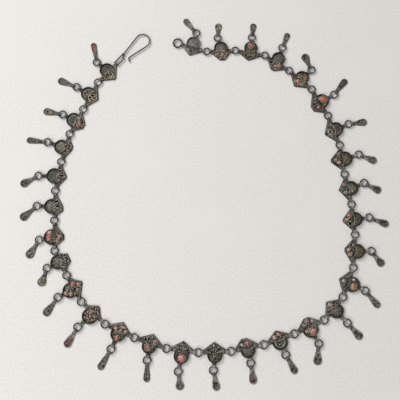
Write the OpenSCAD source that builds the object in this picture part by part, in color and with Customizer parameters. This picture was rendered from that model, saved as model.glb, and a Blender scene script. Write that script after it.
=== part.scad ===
// Belt of thirty linked plaques, each with a paddle drop, laid open on a flat surface.
// Lengths are in millimetres and angles in degrees. The chain is walked from the hook, anticlockwise
// seen from above, so in a plaque's own frame X runs along the chain, +Y points into the loop and
// -Y out of it, towards the drop.

/* [Sheet metal] */
// Thickness of the plates, tabs and drops
sheet = 0.7; // [0.6:0.05:0.8]
// Height of the border wires of a plaque's inner field
border_top = 1.5; // [1.3:0.1:1.7]
// Height of the cup's rim
rim_top = 2.3; // [2:0.1:2.6]
// Thickness of the cup's rim
rim_wall = 0.6; // [0.5:0.05:0.7]

/* [Rolled eyes] */
// Length of a rolled eye along its own axis
eye_len = 2.6; // [2.4:0.1:2.7]
// Wall of a rolled eye
eye_wall = 0.42; // [0.36:0.02:0.46]
// Room between an eye and the wire that runs through it
eye_room = 0.12; // [0.11:0.01:0.14]

/* [Rings] */
// Radius of a jump ring, to the middle of its wire
ring_r = 3.1; // [3:0.05:3.2]
// Radius of a jump ring's wire
ring_wire = 0.57; // [0.54:0.01:0.58]
// Radius of the end ring, to the middle of its wire
end_ring_r = 3.9; // [3.8:0.05:4]
// Radius of the end ring's wire
end_ring_wire = 0.7; // [0.65:0.05:0.8]

/* [Hook] */
// Length of the hook, from the eye it turns in to the far side of its bend
hook_len = 37.5; // [35:0.5:38]
// Radius of the hook's bend, to the middle of its wire
hook_bend_r = 6.3; // [5.8:0.1:6.5]
// Radius of the hook's wire
hook_wire = 0.56; // [0.52:0.01:0.57]
// Length of the rolled eye that the hook turns in
hook_eye_len = 2; // [1.8:0.1:2.2]

/* [Stones] */
// Room round a stone in its setting
stone_room = 0.12; // [0.11:0.01:0.15]
// Wall of a stone's setting
collet_wall = 0.45; // [0.4:0.05:0.5]
// Height of a stone's dome for each millimetre of its radius
dome_share = 0.55; // [0.5:0.05:0.6]

/* [Hidden] */
$fn = 48;

SILVER = [0.36, 0.35, 0.32];
WIRE = [0.3, 0.29, 0.27];
CORAL = [0.78, 0.36, 0.32];
PINK = [0.83, 0.5, 0.47];
AMBER = [0.72, 0.45, 0.28];
GREEN = [0.42, 0.6, 0.5];
PALE = [0.8, 0.76, 0.66];

// Where the chain starts: the middle of the eye that the hook turns in
START = [-77.44, 116.65];

// Columns of CHAIN: which way the plaque lies, the distance between its two rings, where its drop's
// ring is (along the chain and out of the loop), the drop's swing from straight out (anticlockwise),
// its length from the ring's middle and the width of its paddle
HEADING = 0;
SPAN = 1;
DROP_X = 2;
DROP_OUT = 3;
SWING = 4;
DROP_LEN = 5;
DROP_W = 6;
CHAIN = [
    [228, 23.0, -1.4, 13.9, -36, 19.0, 5.1],
    [244, 27.5, -1.7, 15.0, 3, 18.0, 6.4],
    [244, 25.0, -0.4, 13.9, 14, 17.5, 6.4],
    [256, 25.5, -1.2, 16.5, 7, 18.5, 5.4],
    [261, 25.5, 2.3, 16.8, 37, 17.0, 7.0],
    [271, 25.5, 0.2, 15.2, 39, 17.5, 7.2],
    [273, 25.5, 3.1, 12.9, 55, 17.5, 7.4],
    [298, 23.0, -1.3, 11.9, 43, 15.5, 7.4],
    [301, 25.0, -0.3, 14.9, 23, 18.0, 6.8],
    [318, 27.0, -1.3, 16.6, 11, 18.5, 6.6],
    [336, 26.5, -0.2, 15.9, -6, 18.5, 5.8],
    [342, 27.5, 1.9, 13.6, 17, 17.0, 5.4],
    [353, 26.0, -1.2, 16.7, 14, 14.5, 7.0],
    [2, 26.5, -1.6, 14.3, 8, 16.0, 6.2],
    [11, 27.0, 0.2, 12.1, -3, 16.5, 6.4],
    [19, 26.5, 0.8, 13.0, 10, 17.0, 6.0],
    [24, 27.0, 1.2, 15.0, -29, 17.0, 7.0],
    [49, 24.5, -1.7, 15.8, -7, 17.0, 6.8],
    [68, 26.0, -1.3, 15.4, -28, 17.5, 6.0],
    [84, 27.5, 1.4, 14.3, -46, 15.5, 6.8],
    [94, 26.0, 0.6, 13.6, -25, 17.5, 6.4],
    [100, 26.5, 2.7, 14.7, -37, 16.0, 6.6],
    [97, 26.0, 2.5, 15.0, -29, 16.5, 6.6],
    [109, 28.0, 0.9, 14.2, -11, 16.5, 6.4],
    [119, 27.5, -0.1, 14.7, 22, 18.5, 5.8],
    [138, 26.0, -1.4, 13.8, 64, 16.5, 7.0],
    [146, 25.5, 3.7, 14.8, 12, 15.5, 5.2],
    [170, 26.5, 0.7, 14.8, 2, 14.0, 5.6],
    [182, 25.5, 2.5, 12.4, -6, 14.5, 6.2],
    [163, 27.0, 0.5, 14.1, 55, 17.5, 5.8]
];

// Relief of a plaque's inner field
PLAIN = 0;
BARS = 1;
LATTICE = 2;
SCROLLS = 3;
GRAINS = 4;
// Bottom of a plaque's cup
DISC = 0;
DOME = 1;
ARC = 2;

// Columns of FORM: the point of the inner field and half the flat at that point, the cup's middle
// (along the chain and out of the loop) and radius, the field's relief, the cup's bottom, and how far
// the roof's feet stop short of the side tabs
APEX_X = 0;
APEX_Y = 1;
BLUNT = 2;
CUP_X = 3;
CUP_OUT = 4;
CUP_R = 5;
FIELD = 6;
CUP = 7;
SLIM = 8;
FORM = [
    [-1.2, 9.0, 0.8, -1.9, 2.1, 6.3, BARS, DISC, 0],
    [0.2, 7.6, 0.3, -0.6, 2.7, 6.3, BARS, ARC, 0],
    [0.9, 7.9, 2.2, -0.2, 2.7, 6.4, GRAINS, ARC, 0],
    [-1.2, 5.9, 1.6, 0.0, 3.4, 6.4, BARS, DOME, 0],
    [-0.4, 7.1, 0.8, 0.2, 3.4, 6.6, BARS, DISC, 0],
    [2.6, 6.9, 2.2, 0.7, 2.6, 6.4, BARS, DOME, 0],
    [1.7, 7.9, 2.0, 1.2, 2.4, 6.5, GRAINS, DISC, 0],
    [-1.0, 8.3, 3.6, -1.5, 1.6, 6.2, BARS, DOME, 0],
    [-1.2, 8.4, 0.6, 0.1, 3.2, 6.4, GRAINS, DISC, 0],
    [0.0, 6.9, 0.8, 0.0, 3.5, 6.6, LATTICE, DISC, 2.3],
    [-0.1, 7.4, 0.3, 0.0, 2.6, 6.3, LATTICE, DISC, 0],
    [0.1, 7.4, 0.3, 0.0, 2.6, 6.1, SCROLLS, DISC, 0],
    [0.0, 7.4, 0.3, -0.3, 4.4, 6.2, SCROLLS, DISC, 0],
    [0.0, 7.8, 0.3, 0.0, 2.6, 6.2, SCROLLS, DISC, 0],
    [-1.4, 7.7, 2.4, 0.0, 2.0, 6.0, GRAINS, DOME, 0],
    [-0.3, 7.1, 0.6, 0.0, 2.5, 6.3, GRAINS, ARC, 0],
    [0.6, 7.4, 2.2, 0.0, 2.5, 6.4, GRAINS, DISC, 0],
    [0.2, 7.5, 0.5, 0.0, 2.6, 6.3, GRAINS, DOME, 0],
    [-0.2, 7.4, 0.6, -0.4, 3.7, 6.4, SCROLLS, DISC, 0],
    [0.3, 7.8, 1.4, 0.0, 2.6, 6.3, GRAINS, DOME, 0],
    [-0.4, 8.6, 1.2, 0.0, 1.7, 6.1, GRAINS, DISC, 0],
    [0.6, 7.6, 0.4, 0.2, 2.6, 6.3, GRAINS, DOME, 0],
    [0.0, 9.5, 1.4, 0.1, 2.4, 6.5, SCROLLS, DOME, 0],
    [-1.0, 8.3, 0.4, 0.0, 2.0, 6.3, LATTICE, ARC, 0],
    [-2.0, 8.5, 2.5, 0.0, 2.2, 6.3, SCROLLS, ARC, 0],
    [0.0, 7.6, 0.5, 0.0, 2.4, 6.2, LATTICE, DISC, 0],
    [-0.2, 7.7, 1.5, 1.0, 4.0, 6.0, BARS, DOME, 0],
    [0.2, 6.9, 0.5, 0.0, 4.7, 5.9, SCROLLS, DISC, 0],
    [-1.0, 8.4, 2.2, 0.0, 2.5, 6.2, LATTICE, DOME, 0],
    [0.1, 7.6, 0.6, 0.0, 3.8, 6.2, PLAIN, DOME, 0]
];

// Columns of STONES: the plaque, the stone's middle in the plaque's frame, its radius and colour
ON = 0;
STONE_X = 1;
STONE_Y = 2;
STONE_R = 3;
TINT = 4;
STONES = [
    [3, -3.4, 1.3, 0.9, AMBER],
    [3, 0.2, 3.0, 1.2, PINK],
    [3, 3.1, 3.2, 1.1, AMBER],
    [7, -2.4, -4.2, 1.9, CORAL],
    [7, 2.0, -4.6, 1.8, CORAL],
    [7, 1.3, 4.2, 1.3, PINK],
    [7, 4.6, 2.5, 1.1, AMBER],
    [9, -3.5, 1.0, 1.7, CORAL],
    [9, -0.7, 5.1, 1.2, CORAL],
    [9, 3.1, 2.3, 1.1, AMBER],
    [9, -2.4, -4.0, 1.6, GREEN],
    [9, 0.6, -7.4, 1.5, CORAL],
    [9, 2.8, -4.1, 1.2, PINK],
    [10, 1.8, -5.4, 0.9, PINK],
    [11, 0.5, -5.9, 2.0, CORAL],
    [12, -0.8, -4.0, 2.3, CORAL],
    [12, 3.7, 2.1, 1.5, PINK],
    [13, 0.0, -6.1, 3.0, CORAL],
    [15, 1.2, 3.4, 2.1, CORAL],
    [15, -4.0, 3.1, 0.9, PALE],
    [16, 0.9, 4.0, 1.1, PINK],
    [16, -2.9, 2.4, 1.4, CORAL],
    [17, 0.2, 4.7, 1.2, PINK],
    [17, 4.1, 3.5, 1.1, PINK],
    [17, -3.4, 2.6, 1.1, PALE],
    [17, 1.2, -4.8, 2.8, CORAL],
    [17, -3.5, -2.5, 1.2, PALE],
    [18, 0.2, 4.0, 1.1, PINK],
    [18, 1.5, 1.2, 1.2, CORAL],
    [19, -0.2, 3.6, 1.5, PINK],
    [19, -1.7, -5.7, 2.9, AMBER],
    [19, 3.7, -3.6, 1.2, PINK],
    [20, 0.8, 4.7, 0.9, PINK],
    [20, -3.1, 3.3, 1.2, CORAL],
    [21, 3.4, 3.0, 1.4, CORAL],
    [21, 0.2, 5.4, 0.9, PALE],
    [22, 4.3, 1.9, 1.6, PINK],
    [22, 0.2, 5.0, 1.0, GREEN],
    [22, -2.4, 2.2, 1.0, PALE],
    [23, 0.5, 5.7, 0.9, AMBER],
    [23, -2.2, 3.1, 1.0, PALE],
    [23, 5.2, 2.2, 0.9, PALE],
    [24, -3.2, 2.3, 1.3, CORAL],
    [24, -0.2, 5.0, 0.8, PALE],
    [25, 0.5, -4.5, 3.1, CORAL],
    [25, -3.4, 3.1, 1.0, PINK],
    [26, 0.4, 2.4, 1.6, CORAL],
    [26, -2.4, -4.3, 1.4, AMBER],
    [27, -3.4, 0.9, 1.5, CORAL],
    [27, -0.5, 3.4, 1.0, AMBER],
    [28, 0.0, -7.2, 2.6, CORAL],
    [29, -1.0, 4.7, 0.9, CORAL],
    [29, 3.0, 2.5, 1.0, PINK]
];
// Stones from this radius up are pieces of their own, the rest is one piece
MAIN_R = 1.8;
MAIN_STONES = [for (s = STONES) if (s[STONE_R] >= MAIN_R) s];
SMALL_STONES = [for (s = STONES) if (s[STONE_R] < MAIN_R) s];

COUNT = len(CHAIN);
PLAQUES = [for (i = [1:COUNT]) str("plaque_", i < 10 ? "0" : "", i)];
CORALS = [for (i = [1:len(MAIN_STONES)]) str("coral_", i < 10 ? "0" : "", i)];

// The wire of a ring crosses a straight eye on a curve, so the eye's bore is wider than the wire
function bent_in(r, wire) = sqrt(pow(r - wire, 2) - pow(eye_len / 2, 2));
function bore_r(r, wire) = (r + wire - bent_in(r, wire)) / 2 + eye_room;
function eye_to_ring(r, wire) = (r + wire + bent_in(r, wire)) / 2;
EYE_IN = bore_r(ring_r, ring_wire);
EYE_OUT = EYE_IN + eye_wall;
TO_RING = eye_to_ring(ring_r, ring_wire);
END_IN = bore_r(end_ring_r, end_ring_wire);
END_OUT = END_IN + eye_wall;
TO_END = eye_to_ring(end_ring_r, end_ring_wire);
// The eyes sit this much above the surface, so that a plaque rests on its plate
EYE_LIFT = 0.1;
EYE_Z = EYE_LIFT + EYE_OUT;
END_Z = EYE_LIFT + END_OUT;

function unit(a) = [cos(a), sin(a)];
// The middles of the rings: the walk's running sum of the spans
function ring_at(i) = i == 0 ? START : ring_at(i - 1) + CHAIN[i - 1][SPAN] * unit(CHAIN[i - 1][HEADING]);

// Puts a plaque's own frame in its place
module at_plaque(i) {
    row = CHAIN[i - 1];
    middle = (ring_at(i - 1) + ring_at(i)) / 2;
    translate([middle[0], middle[1], 0])
        rotate([0, 0, row[HEADING]])
            children();
}

// Puts the frame of a plaque's drop in its place: the ring's middle, with X along the drop
module at_drop(i) {
    row = CHAIN[i - 1];
    at_plaque(i)
        translate([row[DROP_X], -row[DROP_OUT], 0])
            rotate([0, 0, row[SWING] - 90])
                children();
}

// How far a plaque's eyes are from its middle; the hook turns in the first and the end ring in the last
function eye_back(i) = CHAIN[i - 1][SPAN] / 2 - (i == 1 ? 0 : TO_RING);
function eye_ahead(i) = CHAIN[i - 1][SPAN] / 2 - (i == COUNT ? TO_END : TO_RING);
function first_eye_len(i) = i == 1 ? hook_eye_len : eye_len;

// Rolled eye with its axis along Y
module roll(outer, z, long = eye_len) {
    translate([0, 0, z])
        rotate([90, 0, 0])
            cylinder(r = outer, h = long, center = true);
}

module roll_bore(inner, z) {
    roll(inner, z, eye_len + 1);
}

// Block between two heights over a flat outline
module slab(low, high) {
    translate([0, 0, low])
        linear_extrude(high - low)
            children();
}

// Outline moved inwards by a distance; the points run clockwise
function edge_normal(p, q) = [q[1] - p[1], p[0] - q[0]] / norm(q - p);
function corner(p, q, r, d) =
    let (a = edge_normal(p, q), b = edge_normal(q, r)) q + d * (a + b) / (1 + a * b);
function inset(pts, d) =
    let (n = len(pts)) [for (k = [0:n - 1]) corner(pts[(k + n - 1) % n], pts[k], pts[(k + 1) % n], d)];

// The inner field is a house: walls at both sides of the chain's line, a roof up to the point and a
// base that sags towards the cup
FIELD_HALF = 5.9;
FIELD_BASE = 0.4;
FIELD_SAG = 1.6;
SAG_R = (pow(FIELD_HALF, 2) + pow(FIELD_SAG, 2)) / (2 * FIELD_SAG);
SAG_STEPS = 8;
TAB_HALF = 1.8;
NECK_LESS = 0.05;
NECK_HALF = eye_len / 2 - NECK_LESS;
TAB_TAPER = 1.3;
function foot_back(i) = eye_back(i) - TAB_TAPER - FORM[i - 1][SLIM];
function foot_ahead(i) = eye_ahead(i) - TAB_TAPER - FORM[i - 1][SLIM];
function roof_y(x, from, to) = from[1] + (to[1] - from[1]) * (x - from[0]) / (to[0] - from[0]);
function field_outline(i) =
    let (
        f = FORM[i - 1],
        left = [f[APEX_X] - f[BLUNT], f[APEX_Y]],
        right = [f[APEX_X] + f[BLUNT], f[APEX_Y]],
        back = [-foot_back(i), TAB_HALF],
        ahead = [foot_ahead(i), TAB_HALF]
    ) concat([
        [-FIELD_HALF, roof_y(-FIELD_HALF, left, back)],
        left,
        right,
        [FIELD_HALF, roof_y(FIELD_HALF, right, ahead)]
    ], [for (k = [0:SAG_STEPS]) base_point(1 - 2 * k / SAG_STEPS)]);
// Point of the sagging base, at a share of the half width
function base_point(share) =
    let (x = FIELD_HALF * share) [x, FIELD_BASE - FIELD_SAG + SAG_R - sqrt(pow(SAG_R, 2) - pow(x, 2))];

// Flat plate with its two side tabs, under the field and the cup
module plate(i) {
    f = FORM[i - 1];
    back = -eye_back(i);
    back_half = first_eye_len(i) / 2 - NECK_LESS;
    ahead = eye_ahead(i);
    slab(0, sheet)
        union() {
            polygon([
                [f[APEX_X] - f[BLUNT], f[APEX_Y]],
                [f[APEX_X] + f[BLUNT], f[APEX_Y]],
                [foot_ahead(i), TAB_HALF],
                [ahead, NECK_HALF],
                [ahead, -NECK_HALF],
                [foot_ahead(i), -TAB_HALF],
                [-foot_back(i), -TAB_HALF],
                [back, -back_half],
                [back, back_half],
                [-foot_back(i), TAB_HALF]
            ]);
            cup_disc(i, f[CUP_R]);
        }
}

module cup_disc(i, r) {
    f = FORM[i - 1];
    translate([f[CUP_X], -f[CUP_OUT]])
        circle(r = r);
}

// The part of a flat shape that lies outside the field
module beside_field(i) {
    difference() {
        children();
        polygon(inset(field_outline(i), rim_wall / 2));
    }
}

CUP_FLOOR = 1.1;
ARC_IN = 2;
DOME_RISE = 0.6;
module cup(i) {
    f = FORM[i - 1];
    r = f[CUP_R];
    slab(sheet - 0.1, rim_top)
        beside_field(i)
            difference() {
                cup_disc(i, r);
                cup_disc(i, r - rim_wall);
            }
    slab(sheet - 0.1, CUP_FLOOR)
        beside_field(i)
            cup_disc(i, r - rim_wall / 2);
    if (f[CUP] == ARC) {
        slab(CUP_FLOOR - 0.1, CUP_FLOOR + 0.6)
            beside_field(i)
                difference() {
                    cup_disc(i, r - ARC_IN);
                    cup_disc(i, r - ARC_IN - 0.5);
                }
    }
    if (f[CUP] == DOME) {
        base = r - rim_wall - 0.4;
        intersection() {
            translate([f[CUP_X], -f[CUP_OUT], CUP_FLOOR - 0.1])
                cap(base, DOME_RISE + 0.1);
            slab(0, rim_top)
                beside_field(i)
                    cup_disc(i, r);
        }
    }
}

// Part of a ball, with a flat round foot
module cap(r, rise) {
    ball = (r * r + rise * rise) / (2 * rise);
    intersection() {
        translate([0, 0, rise - ball])
            sphere(r = ball);
        translate([-r - 1, -r - 1, 0])
            cube([2 * r + 2, 2 * r + 2, rise + 1]);
    }
}

// Slanting or crossing bars over the inner field
BAR_W = 0.7;
BAR_TOP = 1.8;
BAR_STEP = 1.75;
module bars(i, angle, top) {
    slab(sheet - 0.1, top)
        intersection() {
            polygon(inset(field_outline(i), rim_wall / 2));
            for (k = [-4:4])
                translate([k * BAR_STEP, 3])
                    rotate([0, 0, angle])
                        square([BAR_W, 16], center = true);
        }
}

// Small flat rings and beads over the inner field
SCROLL_R = 1.05;
SCROLL_WIRE = 0.34;
SCROLL_AT = [[-3.6, 1.9], [-1.2, 2.1], [1.2, 2.1], [3.6, 1.9], [0, 4.4]];
GRAIN_R = 0.45;
GRAIN_AT = [[-4.6, 1.5], [-4.3, 3.0], [-3.1, 3.9], [-1.5, 5.0], [0, 5.9], [1.5, 5.0], [3.1, 3.9], [4.3, 3.0],
            [4.6, 1.5], [-1.4, 1.4], [0, 1.4], [1.4, 1.4]];
module scroll_work() {
    for (p = SCROLL_AT) {
        translate([p[0], p[1], sheet + 0.15])
            rotate_extrude()
                translate([SCROLL_R, 0])
                    circle(r = SCROLL_WIRE);
        translate([p[0], p[1], sheet + 0.1])
            sphere(r = GRAIN_R);
    }
}

module grain_work(i) {
    tall = FORM[i - 1][APEX_Y] / 8;
    for (p = GRAIN_AT)
        translate([p[0], p[1] * tall, sheet + 0.15])
            sphere(r = GRAIN_R);
}

module field(i) {
    f = FORM[i - 1];
    outline = field_outline(i);
    if (f[FIELD] != PLAIN) {
        slab(sheet - 0.1, border_top)
            difference() {
                polygon(outline);
                polygon(inset(outline, rim_wall));
            }
    }
    if (f[FIELD] == BARS)
        bars(i, -28, BAR_TOP);
    if (f[FIELD] == LATTICE) {
        bars(i, 38, BAR_TOP - 0.1);
        bars(i, -38, BAR_TOP - 0.2);
    }
    if (f[FIELD] == SCROLLS)
        scroll_work();
    if (f[FIELD] == GRAINS)
        grain_work(i);
}

// The outer tab, from the cup's middle to the eye that holds the drop's ring
function out_vector(i) =
    [CHAIN[i - 1][DROP_X] - FORM[i - 1][CUP_X], FORM[i - 1][CUP_OUT] - CHAIN[i - 1][DROP_OUT]];
module at_outer_eye(i) {
    v = out_vector(i);
    translate([CHAIN[i - 1][DROP_X], -CHAIN[i - 1][DROP_OUT], 0])
        rotate([0, 0, atan2(v[1], v[0])])
            translate([-TO_RING, 0, 0])
                children();
}

module outer_tab(i) {
    reach = norm(out_vector(i)) - TO_RING - FORM[i - 1][CUP_R];
    at_outer_eye(i)
        slab(0.05, sheet - 0.05)
            polygon([
                [-reach - 1, 2.4],
                [-TAB_TAPER / 2, NECK_HALF + 0.1],
                [0, NECK_HALF],
                [0, -NECK_HALF],
                [-TAB_TAPER / 2, -NECK_HALF - 0.1],
                [-reach - 1, -2.4]
            ]);
}

SEAT = CUP_FLOOR;
SMALL_COLLET = 1.9;
MAIN_COLLET = 2.1;
function stones_on(i) = [for (s = STONES) if (s[ON] == i) s];
module collets(i) {
    for (s = stones_on(i))
        translate([s[STONE_X], s[STONE_Y], sheet - 0.1])
            cylinder(
                r = s[STONE_R] + stone_room + collet_wall,
                h = (s[STONE_R] < MAIN_R ? SMALL_COLLET : MAIN_COLLET) - sheet + 0.1
            );
}

module pockets(i) {
    for (s = stones_on(i))
        translate([s[STONE_X], s[STONE_Y], SEAT])
            cylinder(r = s[STONE_R] + stone_room, h = 4);
}

module plaque(i) {
    ahead_z = i == COUNT ? END_Z : EYE_Z;
    ahead_out = i == COUNT ? END_OUT : EYE_OUT;
    ahead_in = i == COUNT ? END_IN : EYE_IN;
    color(SILVER)
        at_plaque(i)
            difference() {
                union() {
                    plate(i);
                    outer_tab(i);
                    cup(i);
                    field(i);
                    collets(i);
                    translate([-eye_back(i), 0, 0])
                        roll(EYE_OUT, EYE_Z, first_eye_len(i));
                    translate([eye_ahead(i), 0, 0])
                        roll(ahead_out, ahead_z);
                    at_outer_eye(i)
                        roll(EYE_OUT, EYE_Z);
                }
                pockets(i);
                translate([-eye_back(i), 0, 0])
                    roll_bore(EYE_IN, EYE_Z);
                translate([eye_ahead(i), 0, 0])
                    roll_bore(ahead_in, ahead_z);
                at_outer_eye(i)
                    roll_bore(EYE_IN, EYE_Z);
            }
}

// Polished dome with a short straight side, seated in its collet
STONE_LIFT = 0.12;
STONE_SIDE = 0.5;
module stone(s) {
    r = s[STONE_R];
    rise = r * dome_share;
    ball = (r * r + rise * rise) / (2 * rise);
    color(s[TINT])
        at_plaque(s[ON])
            translate([s[STONE_X], s[STONE_Y], SEAT + STONE_LIFT])
                intersection() {
                    cylinder(r = r, h = STONE_SIDE + rise + 1);
                    translate([0, 0, STONE_SIDE + rise - ball])
                        sphere(r = ball);
                }
}

module ring(r, wire) {
    rotate_extrude()
        translate([r, 0])
            circle(r = wire, $fn = 24);
}

module link_rings() {
    color(WIRE)
        for (i = [1:COUNT - 1]) {
            p = ring_at(i);
            translate([p[0], p[1], EYE_Z])
                ring(ring_r, ring_wire);
        }
}

module drop_rings() {
    color(WIRE)
        for (i = [1:COUNT])
            at_drop(i)
                translate([0, 0, EYE_Z])
                    ring(ring_r, ring_wire);
}

// Hammered paddle: rolled top, slim neck and a round, slightly dished end
WAIST_AT = 0.3;
WAIST_HALF = 1.25;
DISH = 0.3;
module drop(i) {
    len = CHAIN[i - 1][DROP_LEN] - TO_RING;
    half = CHAIN[i - 1][DROP_W] / 2;
    hollow = half - 0.6;
    ball = (hollow * hollow + DISH * DISH) / (2 * DISH);
    at_drop(i)
        translate([TO_RING, 0, 0])
            difference() {
                union() {
                    slab(0, sheet)
                        union() {
                            polygon([
                                [0, NECK_HALF],
                                [len * WAIST_AT, WAIST_HALF],
                                [len - half * 1.15, half * 0.985],
                                [len - half * 1.15, -half * 0.985],
                                [len * WAIST_AT, -WAIST_HALF],
                                [0, -NECK_HALF]
                            ]);
                            translate([len - half, 0])
                                circle(r = half);
                        }
                    roll(EYE_OUT, EYE_Z);
                }
                translate([len - half, 0, sheet - DISH + ball])
                    sphere(r = ball);
                roll_bore(EYE_IN, EYE_Z);
            }
}

module drops() {
    color(SILVER)
        for (i = [1:COUNT])
            drop(i);
}

// Round wire that is bent as a smith bends it: each step is [turn, size], a straight length of that size
// where the turn is 0, and otherwise a bend of that radius through the turn, anticlockwise. A short
// collar that is hardly wider than the wire joins each step to the next.
COLLAR_MORE = 0.03;
COLLAR_HALF = 0.08;
module bent_wire(steps, k = 0) {
    translate([-COLLAR_HALF, 0, 0])
        rod(hook_wire + COLLAR_MORE, 2 * COLLAR_HALF);
    if (k < len(steps)) {
        turn = steps[k][0];
        size = steps[k][1];
        side = sign(turn);
        if (turn == 0) {
            translate([COLLAR_HALF / 2, 0, 0])
                rod(hook_wire, size - COLLAR_HALF);
            translate([size, 0, 0])
                bent_wire(steps, k + 1);
        } else {
            translate([0, side * size, 0]) {
                rotate([0, 0, side > 0 ? -90 : 90 + turn])
                    rotate_extrude(angle = abs(turn))
                        translate([size, 0])
                            circle(r = hook_wire, $fn = 24);
                rotate([0, 0, turn])
                    translate([0, -side * size, 0])
                        bent_wire(steps, k + 1);
            }
        }
    }
}

module rod(r, long) {
    rotate([0, 90, 0])
        cylinder(r = r, h = long, $fn = 24);
}

// The hook's frame starts in the eye of plaque 1, with X away from the plaque. A narrow loop turns in
// the eye and ends in a wrapped neck, and from the neck run the shank, the bend and the return leg.
NECK = [10.2, 1.3];
SHANK_TURN = 6.5;
SHANK_LEN = hook_len - hook_bend_r - NECK[0];
HOOK_OPEN = 20;
RETURN_LEN = 18.4;
TIP_TURN = 69;
TIP_BEND_R = 1;
TIP_LEN = 3;
LOOP_CORNER = 0.75;
LOOP_END = hook_eye_len + 0.3;
LOOP_SIDE = LOOP_END / 2 + LOOP_CORNER;
CURL_AT = 7;
CURL_TURN = 125;
CURL_R = 1.1;
CURL_LEN = 0.6;
WRAP_R = 0.85;
WRAP_WIRE = 0.4;
module hook() {
    color(WIRE)
        translate([START[0], START[1], EYE_Z])
            rotate([0, 0, CHAIN[0][HEADING] - 180]) {
                translate([NECK[0], NECK[1], 0])
                    rotate([0, 0, SHANK_TURN]) {
                        bent_wire([
                            [0, SHANK_LEN],
                            [-180 - HOOK_OPEN, hook_bend_r],
                            [0, RETURN_LEN],
                            [TIP_TURN, TIP_BEND_R],
                            [0, TIP_LEN]
                        ]);
                        for (x = [0.2, 1.1])
                            translate([x, 0, 0])
                                rotate([0, 90, 0])
                                    ring(WRAP_R, WRAP_WIRE);
                    }
                translate([NECK[0] + 1, LOOP_SIDE, 0])
                    rotate([0, 0, 180])
                        bent_wire([
                            [0, NECK[0] + 1 - LOOP_CORNER],
                            [90, LOOP_CORNER],
                            [0, LOOP_END],
                            [90, LOOP_CORNER],
                            [0, CURL_AT],
                            [CURL_TURN, CURL_R],
                            [0, CURL_LEN]
                        ]);
            }
}

module end_ring() {
    p = ring_at(COUNT);
    color(WIRE)
        translate([p[0], p[1], END_Z])
            ring(end_ring_r, end_ring_wire);
}

for (i = [1:COUNT])
    plaque(i);
for (i = [1:len(CORALS)])
    stone(MAIN_STONES[i - 1]);
for (s = SMALL_STONES) stone(s);  // small_stones
link_rings();
drop_rings();
drops();
hook();
end_ring();
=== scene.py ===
"""Belt of thirty linked silver plaques with corals and paddle drops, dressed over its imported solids."""
import logging
import math
import random
from dataclasses import dataclass, field
from enum import Enum
from typing import NamedTuple

import bmesh
import bpy
from bmesh.types import BMEdge, BMesh, BMFace, BMVert
from bpy.types import Material, NodeSocket, NodeTree, Object
from mathutils import Matrix, Vector, noise


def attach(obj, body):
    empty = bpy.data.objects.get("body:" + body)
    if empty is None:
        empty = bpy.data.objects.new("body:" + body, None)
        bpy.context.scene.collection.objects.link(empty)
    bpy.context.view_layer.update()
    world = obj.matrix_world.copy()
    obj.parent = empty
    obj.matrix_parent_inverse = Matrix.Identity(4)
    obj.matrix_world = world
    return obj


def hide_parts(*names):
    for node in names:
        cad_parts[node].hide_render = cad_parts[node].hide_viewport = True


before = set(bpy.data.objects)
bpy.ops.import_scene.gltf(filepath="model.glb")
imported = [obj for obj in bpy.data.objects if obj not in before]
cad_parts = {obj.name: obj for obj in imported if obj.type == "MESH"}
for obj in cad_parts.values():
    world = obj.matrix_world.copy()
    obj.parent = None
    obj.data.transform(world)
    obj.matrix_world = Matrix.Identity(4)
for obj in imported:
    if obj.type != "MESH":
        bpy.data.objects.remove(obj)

LOG = logging.getLogger("belt")

# Every size below is in millimetres, in the belt's own frame, and each mesh is made metres at the end
MM = 0.001

# Which unevenness the hand-made shapes have
SEED = 30

# Points closer than this count as one
TINY = 1e-4

# Faces that meet at a smaller angle than this, in radians, lie in one plane
FLAT = 0.1

# A linear colour, a range, the corners of an outline or points of a profile, and places on a plaque
Colour = tuple[float, float, float]
Span = tuple[float, float]
Corners = list[tuple[float, float]]
Spots = tuple[tuple[float, float], ...]


class Patina(Enum):
    """What time has left on a plaque's silver."""

    GREY = "grey"
    OLIVE = "olive"
    BROWN = "brown"
    GREEN = "green"
    WORN = "worn"


class Gem(Enum):
    """Colours of the stones."""

    CORAL = "coral"
    BRIGHT = "bright_coral"
    ORANGE = "orange_coral"
    DULL = "dull_coral"
    PINK = "pink_stone"
    AMBER = "amber_stone"
    GREEN = "green_stone"
    PALE = "pale_stone"
    GREY = "grey_stone"
    TAN = "tan_stone"
    TEAL = "teal_stone"
    GARNET = "garnet_stone"
    SMOKY = "smoky_stone"


class Tone(Enum):
    """Finishes of the small relief in a medallion."""

    WORN = "worn"
    ROSE = "rose"


class Crust(Enum):
    """Colours of the thin crusts that lie on the silver."""

    TEAL = "teal_crust"
    GREEN = "green_crust"
    OLIVE = "olive_crust"
    RUST = "rust_crust"
    GOLD = "gold_crust"


class Dish(Enum):
    """What has settled in a drop's dish."""

    DARK = "dark"
    BROWN = "brown"
    RED = "red"
    OLIVE = "olive"
    GREY = "grey"


class Relief(Enum):
    """The cast ground of a medallion."""

    BARS = "bars"
    LATTICE = "lattice"
    SCROLLS = "scrolls"
    GRAINS = "grains"
    PLAIN = "plain"


class Bottom(Enum):
    """The form of a cup's floor."""

    DISC = "disc"
    ARC = "arc"
    DOME = "dome"


class Link(NamedTuple):
    """A plaque's place in the chain and its drop, as in the part's own table."""

    heading: float
    span: float
    drop_x: float
    drop_out: float
    swing: float
    drop_len: float
    drop_w: float


class Form(NamedTuple):
    """A plaque's point, its cup, its ground, how far the roof's feet stop short, and its two patinas."""

    apex_x: float
    apex_y: float
    blunt: float
    cup_x: float
    cup_out: float
    cup_r: float
    relief: Relief
    bottom: Bottom
    slim: float
    plate: Patina
    cup: Patina


class Stone(NamedTuple):
    """A stone: the plaque it is on, its place there, its radius and its colour."""

    on: int
    x: float
    y: float
    r: float
    gem: Gem


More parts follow.
